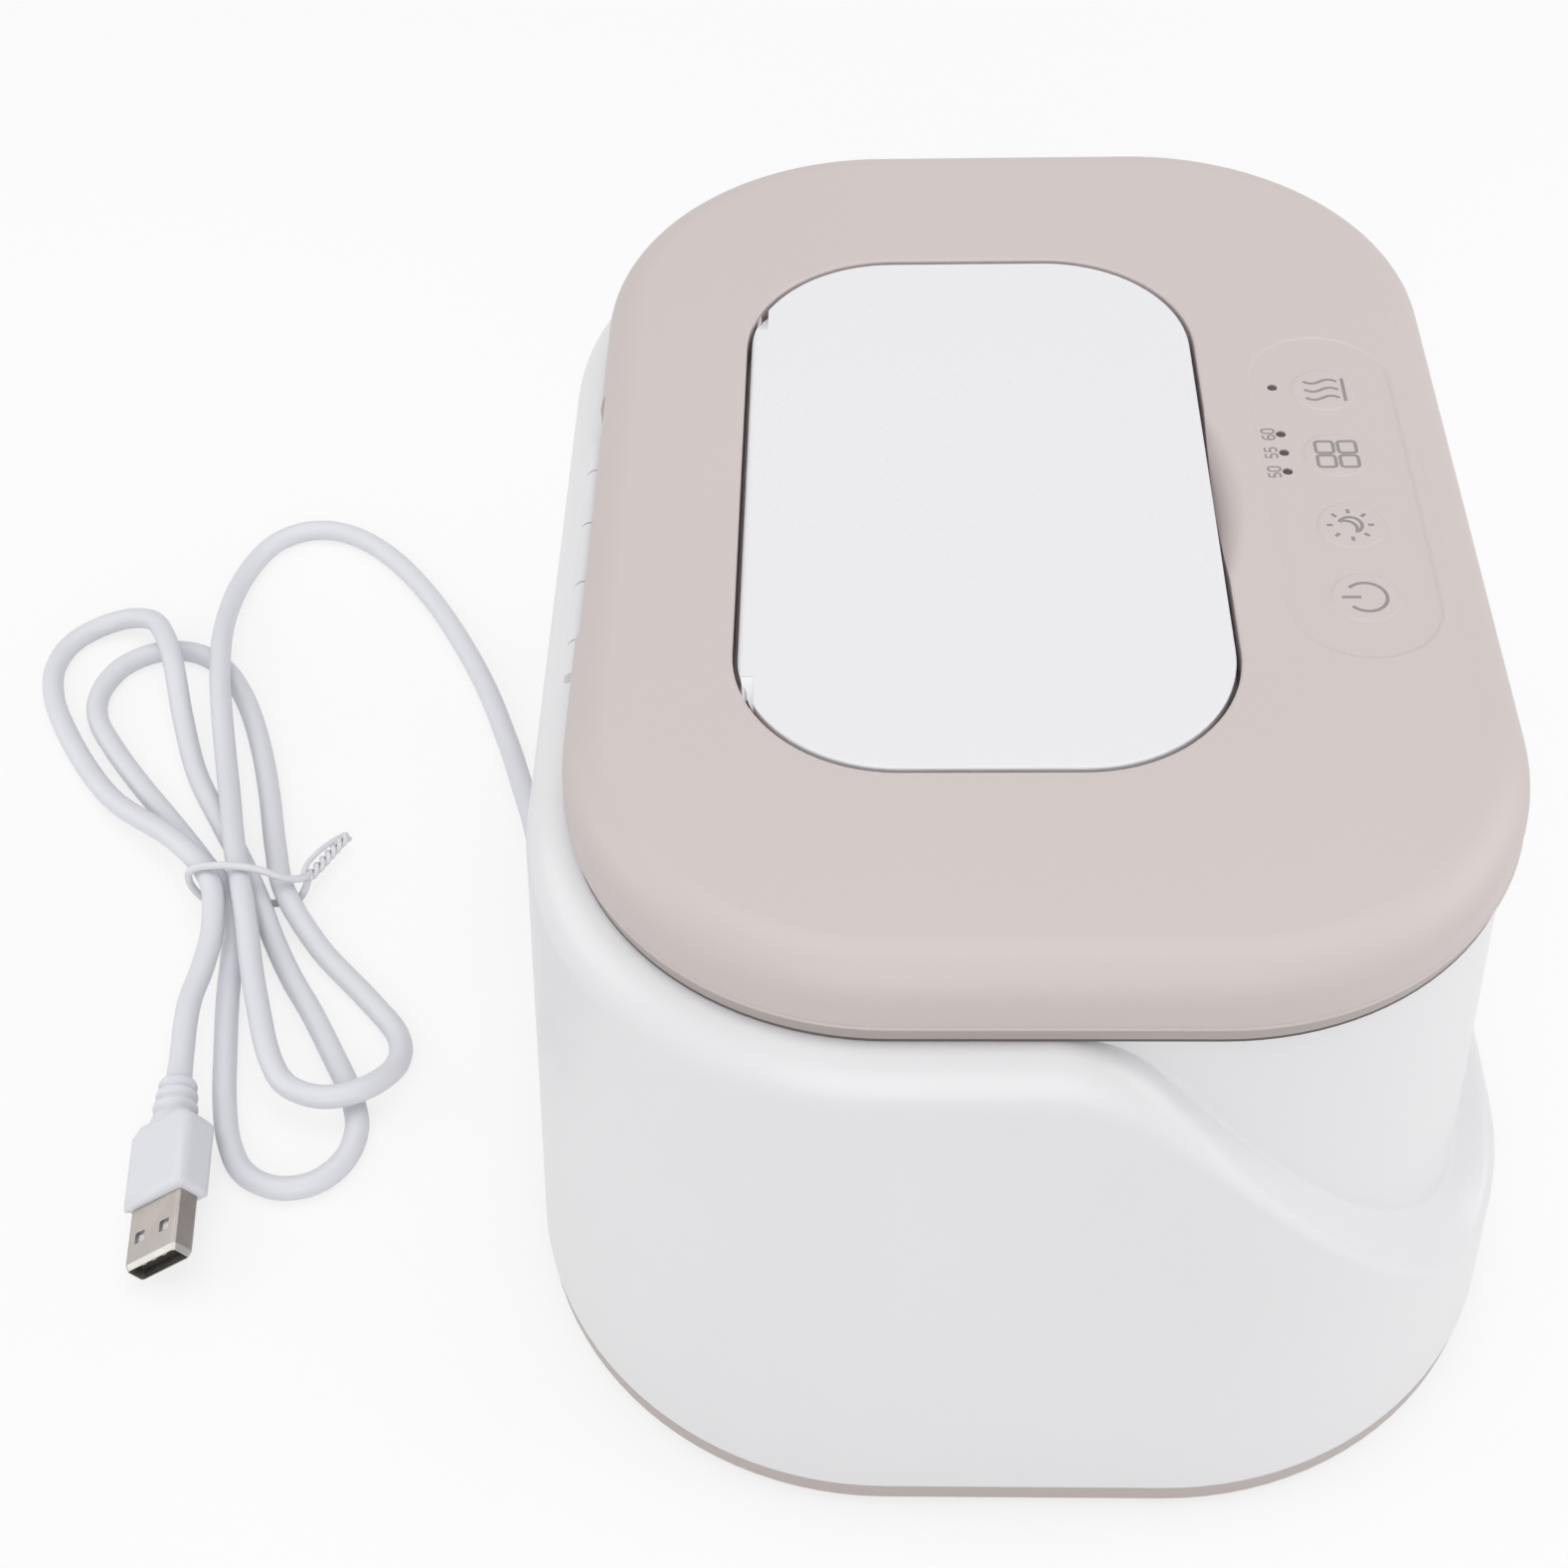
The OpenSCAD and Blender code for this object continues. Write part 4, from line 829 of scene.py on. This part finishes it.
class WARMER_OT_housing(bpy.types.Operator):
    """The white housing: drafted wall, shoulder that runs down into the front ledge, rim and knuckles"""
    bl_idname = "warmer.housing"
    bl_label = "Housing"

    SEAT_R, SEAT_Z, SEAT_T = 41.39, 104.4, 2      # seat of the tub's flange
    WAY_R = 37.69                                 # way for the tub
    KNUCKLES = ((-27, -20), (-6.75, 6.75), (20, 27))
    POCKETS, POCKET_GAP = ((-20, -6.75), (6.75, 20)), 0.12
    # fall below the rim over which the ledge's own shape comes in, and its inner edge's rise
    EASE_FALL, RISE_FALL, RISE = 26, 12, 0.8
    BOSS, BOSS_TOP, GLAND_R, BORE_R = (16, 7.2), 20.5, 5.4, 3.6

    def section(self, base_y, way_y, sizes):
        """Closed section of the wall at one place."""
        ledge = min(ledge_height(base_y, way_y, 0), RIM_Z - 0.05)
        inner = min(ledge_height(base_y, way_y, STEP), RIM_Z - 0.04)
        fall = RIM_Z - ledge
        low = min(1, fall / self.EASE_FALL)
        low = low * low * (3 - 2 * low)
        edge = SHOULDER_R + (sizes.ledge_edge / MM - SHOULDER_R) * low
        foot = min(inner + self.RISE * min(1, fall / self.RISE_FALL), RIM_Z - 0.03)
        share = 0.985 - 0.42 * low
        fillet = min(sizes.ledge_fillet / MM, 0.6 * (RIM_Z - foot))
        seat = self.SEAT_Z - self.SEAT_T
        under = min(ledge - WALL, seat - 1)
        below = min(foot - WALL, seat - 0.6)
        back_r = outer_r(seat) - STEP - WALL
        return rounded_path([
            (outer_r(WALL_Z), WALL_Z, 0.5, 2, 12, 0.3),
            (outer_r(ledge), ledge, edge, 12, 3, share),
            (outer_r(foot) - STEP, foot, fillet, 7, 9, 0.6),
            (outer_r(RIM_Z) - STEP, RIM_Z, 0.7, 3, 1, 0.4),
            (self.SEAT_R, RIM_Z, 0.3, 2, 1, 0.4),
            (self.SEAT_R, self.SEAT_Z, 0, 0, 1, 0.4),
            (self.WAY_R, self.SEAT_Z, 0, 0, 0, 0.4),
            (self.WAY_R, seat, 0, 0, 1, 0.4),
            (back_r, seat, 0, 0, 0, 0.4),
            (outer_r(below) - STEP - WALL, below, 0, 0, 1, 0.4),
            (outer_r(under) - WALL, under, 0, 0, 3, 0.4),
            (outer_r(WALL_Z) - WALL, WALL_Z, 0, 0, 0, 0.4),
        ])

    def execute(self, context):
        sizes = context.scene.warmer_sizes
        columns = around(30, 24, 12)
        spots = [mm((base_x + r * way_x, base_y + r * way_y, z))
                 for base_x, base_y, way_x, way_y in columns
                 for r, z in self.section(base_y, way_y, sizes)]
        rows = len(spots) // len(columns)
        faces = []
        for i in range(len(columns)):
            j = (i + 1) % len(columns)
            for k in range(rows):
                n = (k + 1) % rows
                faces.append((i * rows + k, j * rows + k, j * rows + n, i * rows + n))
        mesh = bpy.data.meshes.new("housing")
        mesh.from_pydata(spots, [], faces)
        housing = bpy.data.objects.new("housing", mesh)
        context.scene.collection.objects.link(housing)
        tidy_mesh(housing)
        for x0, x1 in self.KNUCKLES:
            carve(housing, level_rod("knuckle", KNUCKLE_R, HINGE, x0, x1), "UNION")
        for x0, x1 in self.POCKETS:
            carve(housing, level_rod("pocket", KNUCKLE_R + self.POCKET_GAP, HINGE, x0, x1))
        x, y, z = GLAND
        carve(housing, block("boss", (x, y + 0.6), self.BOSS, 1, WALL_Z, self.BOSS_TOP, 3), "UNION")
        carve(housing, rod("gland pocket", self.GLAND_R, (x, y, z), (x, y + 20, z), 40))
        carve(housing, rod("gland bore", self.BORE_R, (x, y - 9, z), (x, y + 1, z), 40))
        smooth(housing)
        dress(housing, "white_housing", "body", None, "outer_shell")
        return {"FINISHED"}


# ---------- lid ----------

class WARMER_OT_lid(bpy.types.Operator):
    """The lid cover with its soft top edge, flap well, finger scoop and sunk touch panel"""
    bl_idname = "warmer.lid"
    bl_label = "Lid"

    SIZE, R = (190, 136), 46
    FLAP, FLAP_R = (118.4, 73), 23.7
    MOUTH, MOUTH_R, MOUTH_Y = (92, 46), 18, 5.5
    PANEL, PAD_R, PAD_Y, PADS = (75, 23), 5, -48.4, (23.6, 7.6, -8.8, -24.6)
    PANEL_SLOPE = 0.62
    LIGHTS, LIGHT_Y, LIGHT_R = (24.5, 12.9, 8.4, 3.9), -40.4, 0.8
    SCOOP_AT, SCOOP_R = (-0.8, 28.2), 61
    # height from the top, and how much the scoop's cone grows there
    SCOOP = ((-4, -4.6), (-3.2, -3.6), (-2.2, -2.7), (-1.2, -1.7), (-0.5, -0.9), (-0.15, -0.4), (0, 0.3),
             (0.6, 0.3))
    ROOF = 2.4
    LENS_SINK, LENS_Z, RIM_R = 0.2, 117.8, 0.3
    LIP_OUT, LIP_FROM, LIP_TO = 0.22, 0.1, 0.8
    BAND_IN, BEAD_HALF = 0.35, 0.25
    RELIEF, RELIEF_Y, BAND_RELIEF, BAND_RELIEF_Y = (55, 10), 72, (64, 10), 70
    ARM = (7.05, 19.7)          # from and to, on each side

    def outline(self, name, grow, z0, z1, steps=28):
        """A block with the cover's outline, larger by this much all round."""
        return block(name, (0, 0), [s + 2 * grow for s in self.SIZE], self.R + grow, z0, z1, steps)

    def execute(self, context):
        sizes = context.scene.warmer_sizes
        edge = sizes.edge / MM
        lid = self.outline("lid_shell", 0, LID_Z, TOP_Z)
        round_rim(lid, TOP_Z, sizes.lid_fillet, 12)
        round_rim(lid, LID_Z, sizes.lid_lower, 3)
        self.hollow(lid)
        well = block("well", (0, FLAP_Y), self.FLAP, self.FLAP_R, WELL_Z, TOP_Z - edge, 20)
        flare(well, (0, FLAP_Y), self.FLAP, TOP_Z - edge, edge)
        carve(lid, well)
        carve(lid, block("mouth way", (0, self.MOUTH_Y), self.MOUTH, self.MOUTH_R, LID_Z - 1, TOP_Z, 14))
        self.scoop(lid)
        self.panel(lid)
        for x in self.LIGHTS:
            carve(lid, rod("light way", self.LIGHT_R, (x, self.LIGHT_Y, TOP_Z - 4),
                           (x, self.LIGHT_Y, TOP_Z + 1), 24))
        self.lenses()
        carve(lid, block("hinge relief", (0, self.RELIEF_Y), self.RELIEF, 0, LID_Z - 2, TOP_Z + 2))
        self.lip()
        self.band(sizes.band / MM)
        self.hinge_arms()
        smooth(lid)
        dress(lid, "lid_plastic", "lid", None, "lid_cover")
        return {"FINISHED"}

    def lenses(self):
        """Dark domed windows of the lights, just under the panel."""
        domes = []
        top = TOP_Z - PANEL_SINK - self.LENS_SINK
        for x in self.LIGHTS:
            dome = rod("light_lenses", self.LIGHT_R - 0.02, (x, self.LIGHT_Y, self.LENS_Z),
                       (x, self.LIGHT_Y, top), 24)
            round_rim(dome, top, self.RIM_R * MM, 3)
            domes.insert(0, dome)
        only(*domes)
        bpy.ops.object.join()
        smooth(domes[-1], 40)
        dress(domes[-1], "led_resin", "lid", None, "indicator_leds")

    def hinge_arms(self):
        """The liner without its thick knuckles, and slim arms that reach the pin in their place."""
        liner = bpy.data.objects.new("liner", frame["nodes"]["lid_liner"].data.copy())
        bpy.context.scene.collection.objects.link(liner)
        tidy_mesh(liner)
        carve(liner, block("knuckles", (0, LINER_BACK + 4), (60, 8), 0, BAND_Z - 6, BAND_Z + 4))
        smooth(liner)
        dress(liner, "taupe_trim", "lid", None, "lid_liner")
        y, z = HINGE
        near, far = self.ARM
        arms = level_rod("hinge_arms", KNUCKLE_R, HINGE, -far, -near)
        carve(arms, level_rod("right arm", KNUCKLE_R, HINGE, near, far), "UNION")
        front = LINER_BACK - 0.5
        for side in (-1, 1):
            carve(arms, block("web", (side * (near + far) / 2, (front + y) / 2), (far - near, y - front), 0,
                              BAND_Z + 0.05, z + KNUCKLE_R - 0.1), "UNION")
        smooth(arms)
        dress(arms, "white_housing", "lid")

    def ring(self, piece, inset, z0, z1, relief, relief_y):
        """Hollows the piece to a ring and cuts the way for the hinge."""
        carve(piece, self.outline("inside", -inset, z0, z1))
        carve(piece, block("hinge relief", (0, relief_y), relief, 0, z0 - 1, TOP_Z))
        smooth(piece)

    def lip(self):
        """A fine bead along the cover's lower edge."""
        z0, z1 = LID_Z + self.LIP_FROM, LID_Z + self.LIP_TO
        bead = self.outline("lid_lip", self.LIP_OUT, z0, z1)
        for z in (z0, z1):
            round_rim(bead, z, self.RIM_R * MM, 3)
        self.ring(bead, 1.5, z0 - 1, z1 + 1, self.RELIEF, self.RELIEF_Y)
        dress(bead, "lid_plastic", "lid")

    def band(self, high):
        """The trim band under the cover, drawn in a little from its edge, in a darker copy of the trim as
        painted shade, and a painted gap shadow under it: a thin near-black ring.
        """
        band = self.outline("lid_band", -self.BAND_IN, BAND_Z, BAND_Z + high)
        round_rim(band, BAND_Z, self.RIM_R * MM, 3)
        # painted gap shadow: a thin near-black ring where shade falls between the band and the rim
        bead = self.outline("lid_painted_gap_shadow", -self.BAND_IN, BAND_Z - self.BEAD_HALF, BAND_Z + self.BEAD_HALF)
        for piece, finish in ((band, "band"), (bead, "bead")):
            self.ring(piece, 1.7, BAND_Z - 1, TOP_Z, self.BAND_RELIEF, self.BAND_RELIEF_Y)
            dress(piece, finish, "lid", "taupe_trim")

    def hollow(self, lid):
        room = self.outline("room", -self.ROOF, LID_Z - 1, TOP_Z - self.ROOF, 16)
        round_rim(room, TOP_Z - self.ROOF, 4.6 * MM, 4)
        carve(room, block("well wall", (0, FLAP_Y), [s + 4 for s in self.FLAP], self.FLAP_R + 2,
                          WELL_Z - 1.8, TOP_Z, 12))
        carve(room, block("scoop roof", (0, -33), (48, 9), 0, TOP_Z - 5.8, TOP_Z))
        carve(lid, room)

    def scoop(self, lid):
        """A wide shallow cone, rounded over at the top, cut only in front of the flap."""
        rings = [(z, self.SCOOP_R + grow) for z, grow in self.SCOOP]
        cone = lathe("scoop", (*self.SCOOP_AT, TOP_Z), rings, (0, 0, 1), 256)
        carve(cone, block("front half", (0, -45), (120, 40), 0, TOP_Z - 9, TOP_Z + 9), "INTERSECT")
        carve(lid, cone)

    def panel(self, lid):
        soft = self.PANEL_SLOPE
        bottom = TOP_Z - PANEL_SINK
        size = [s - 2 * soft for s in self.PANEL]
        sunk = block("panel", (0, PANEL_Y), size, size[1] / 2 - 0.05, bottom, bottom + 0.01, 24)
        self.slope(sunk, (0, PANEL_Y, bottom), [(s + 2 * soft) / s for s in size])
        carry_on((0, 0, 0.4))
        only(sunk)
        for x in self.PADS:
            foot_r, top_r = self.PAD_R + soft / 2, self.PAD_R - soft / 2
            pad = rod("pad", foot_r, (x, self.PAD_Y, bottom - 0.3), (x, self.PAD_Y, bottom), 64)
            self.slope(pad, (x, self.PAD_Y, bottom), [top_r / foot_r] * 2)
            only(pad)
            carve(sunk, pad)
        carve(lid, sunk)

    @staticmethod
    def slope(piece, foot, grow):
        """Carries a flat top on up a shallow slope to its new outline."""
        edit(piece)
        pick(piece, "FACE", top_face(foot[2] - 0.05))
        half = [(1 + g) / 2 for g in grow]
        for scale in (half, [g / h for g, h in zip(grow, half)]):
            carry_on((0, 0, PANEL_SINK / 2), (*scale, 1), mm(foot))


# ---------- flap ----------

class WARMER_OT_flap(bpy.types.Operator):
    """The dispensing flap with its rounded hinge edge"""
    bl_idname = "warmer.flap"
    bl_label = "Flap"

    SIZE, R = (117, 71.6), 23
    TOP, THICK, ROLL = 120.9, 2.4, 1.1
    STEP_X, STEP_UP, STEP_TILT = 40.5, 1, 17      # the step in a back corner, from the pins

    def execute(self, context):
        bottom = self.TOP - self.THICK
        flap = block("flap_plate", (0, FLAP_Y), self.SIZE, self.R, bottom, self.TOP, 22)
        round_rim(flap, self.TOP, context.scene.warmer_sizes.edge, 4)
        round_rim(flap, bottom, 0.2 * MM, 2)
        y, z = FLAP_AXIS
        behind = block("behind the hinge", (0, y + 5), (140, 10), 0, z - 8, z + 8)
        carve(behind, level_rod("roll", self.ROLL, FLAP_AXIS, -72, 72, 48))
        carve(flap, behind)
        # the back corners fall away a little, so that they pass the lid's edge
        foot = z + self.STEP_UP
        for side in (-1, 1):
            step = block("corner", (side * (self.STEP_X + 4), y + 2.2), (8, 7.4), 0, foot, z + 8)
            edit(step)
            bpy.ops.mesh.select_all(action="SELECT")
            bpy.ops.transform.rotate(value=-side * math.radians(self.STEP_TILT), orient_axis="Y",
                                     center_override=mm((side * self.STEP_X, y, foot)))
            only(step)
            carve(flap, step)
        smooth(flap)
        dress(flap, "flap_plastic", "flap", None, "flap_cover")
        return {"FINISHED"}


# ---------- signs on the touch panel ----------

def arc_points(centre, radius, start, end, steps=24):
    turns = (math.radians(start + (end - start) * k / steps) for k in range(steps + 1))
    return [(centre[0] + radius * math.cos(turn), centre[1] + radius * math.sin(turn)) for turn in turns]


def rounded_cell(x, y, half, radius):
    path = []
    for sx, sy, start in ((1, 1, 0), (-1, 1, 90), (-1, -1, 180), (1, -1, 270)):
        path += arc_points((x + sx * (half - radius), y + sy * (half - radius)), radius, start, start + 90, 5)
    return path + path[:1]


class WARMER_OT_signs(bpy.types.Operator):
    """Plain signs printed on the pads, and the temperatures beside three of the lights"""
    bl_idname = "warmer.signs"
    bl_label = "Signs"

    PLACES = {"steam": (23.5, -48.6), "heat": (7.6, -48.4), "night_light": (-8.9, -48.2),
              "power": (-24.7, -48.4)}
    TEMPERATURES = (("60", 12.85), ("55", 8.35), ("50", 3.75))
    DIGITS_Y, DIGIT_PITCH, DIGIT_STROKE = -38.4, 0.74, 0.36
    PRINT = 0.12        # how much of a stroke's height the print keeps

    @staticmethod
    def steam():
        waves = [[(x - 0.5 * math.sin(2 * math.pi * k / 20), 3.25 - 5.35 * k / 20) for k in range(21)]
                 for x in (-2.05, 0, 2.05)]
        return waves + [[(-2.85, -2.95), (2.85, -2.95)]]

    @staticmethod
    def heat():
        return [rounded_cell(x, y, 1.38, 0.55) for x in (-1.68, 1.68) for y in (-1.75, 1.75)]

    @staticmethod
    def night_light():
        rays = [[arc_points((0, 0), r, 45 * k, 45 * k, 1)[0] for r in (2.65, 3.55)] for k in range(8)]
        outside = arc_points((0, 0), 1.75, 65, -155)
        inside = arc_points((-0.78, 0.78), 1.72, -117.9, 27.9)
        return rays + [outside + inside[1:]]

    @staticmethod
    def power():
        return [arc_points((0, 0), 3, 131, 409, 40), [(0, 3.6), (0, 0.8)]]

    def execute(self, context):
        sizes = context.scene.warmer_sizes
        for name, (x, y) in self.PLACES.items():
            lines = [[(x + px, y + py) for px, py in line] for line in getattr(self, name)()]
            self.print_lines("sign_" + name, lines, sizes.stroke, TOP_Z)
        high = sizes.digit / MM
        for text, x in self.TEMPERATURES:
            lines = []
            for spot, digit in enumerate(text):
                middle = x + (spot - 0.5) * self.DIGIT_PITCH * high
                lines.append([(middle + px * high, self.DIGITS_Y + py * high)
                              for px, py in self.figure(digit)])
            self.print_lines("temperature_" + text, lines, self.DIGIT_STROKE * MM, TOP_Z - PANEL_SINK)
        return {"FINISHED"}

    @staticmethod
    def figure(digit):
        """One numeral as a single stroke, one unit high."""
        if digit == "0":
            return (arc_points((0, 0.22), 0.26, 0, 180, 12) + arc_points((0, -0.22), 0.26, 180, 360, 12)
                    + [(0.26, 0.22)])
        if digit == "6":
            return ([(0.2, 0.45), (0.02, 0.47)] + arc_points((0.06, 0.12), 0.32, 100, 180, 8)
                    + arc_points((0, -0.21), 0.26, 180, 540, 20))
        return [(0.22, 0.47), (-0.18, 0.47), (-0.22, 0.05)] + arc_points((-0.02, -0.18), 0.26, 130, -140, 18)

    def print_lines(self, name, lines, stroke, z):
        """Makes one flat print of the lines, level with z."""
        only(*(wire(name, [(x, y, z) for x, y in line], stroke, 2) for line in lines))
        bpy.ops.object.convert(target="MESH")
        bpy.ops.object.join()
        sign = bpy.context.object
        sign.name = name
        edit(sign)
        bpy.ops.mesh.select_all(action="SELECT")
        bpy.ops.transform.resize(value=(1, 1, self.PRINT), center_override=(0, 0, z * MM))
        smooth(sign, 60)
        dress(sign, "marks", "lid", "lid_plastic")


# ---------- pieces that keep their solid ----------

class WARMER_OT_inside(bpy.types.Operator):
    """Finishes for every piece that keeps its solid: base, feet, tub, heating, boards and seals"""
    bl_idname = "warmer.inside"
    bl_label = "Base and inside"

    def execute(self, context):
        slots = {part["node"]: part["material_slot"] for part in frame["record"]["subparts"]}
        for name, piece in frame["nodes"].items():
            if not piece.hide_render:
                piece.data.materials.clear()
                piece.data.materials.append(FINISHES[slots[name]])
        return {"FINISHED"}


STEPS = (WARMER_OT_stage, WARMER_OT_tie, WARMER_OT_plug, WARMER_OT_cord, WARMER_OT_housing, WARMER_OT_lid,
         WARMER_OT_flap, WARMER_OT_signs, WARMER_OT_inside)


class WARMER_PT_sidebar(bpy.types.Panel):
    """Sizes, colours and the steps that build the warmer"""
    bl_label = "Wipe warmer"
    bl_idname = "WARMER_PT_sidebar"
    bl_space_type = "VIEW_3D"
    bl_region_type = "UI"
    bl_category = "Wipe warmer"

    def draw(self, context):
        for group in (context.scene.warmer_sizes, context.scene.warmer_colours):
            for name in group.bl_rna.properties.keys():
                if name not in ("rna_type", "name"):
                    self.layout.prop(group, name)
        for step in STEPS:
            self.layout.operator(step.bl_idname)


CLASSES = (WarmerSizes, WarmerColours, *STEPS, WARMER_PT_sidebar)


def register():
    for item in CLASSES:
        bpy.utils.register_class(item)
    bpy.types.Scene.warmer_sizes = PointerProperty(type=WarmerSizes)
    bpy.types.Scene.warmer_colours = PointerProperty(type=WarmerColours)


def unregister():
    del bpy.types.Scene.warmer_colours
    del bpy.types.Scene.warmer_sizes
    for item in reversed(CLASSES):
        bpy.utils.unregister_class(item)


def main():
    register()
    FINISHES.update(make_finishes())
    for step in STEPS:
        family, action = step.bl_idname.split(".")
        getattr(getattr(bpy.ops, family), action)()
    only()


if __name__ == "__main__":
    main()
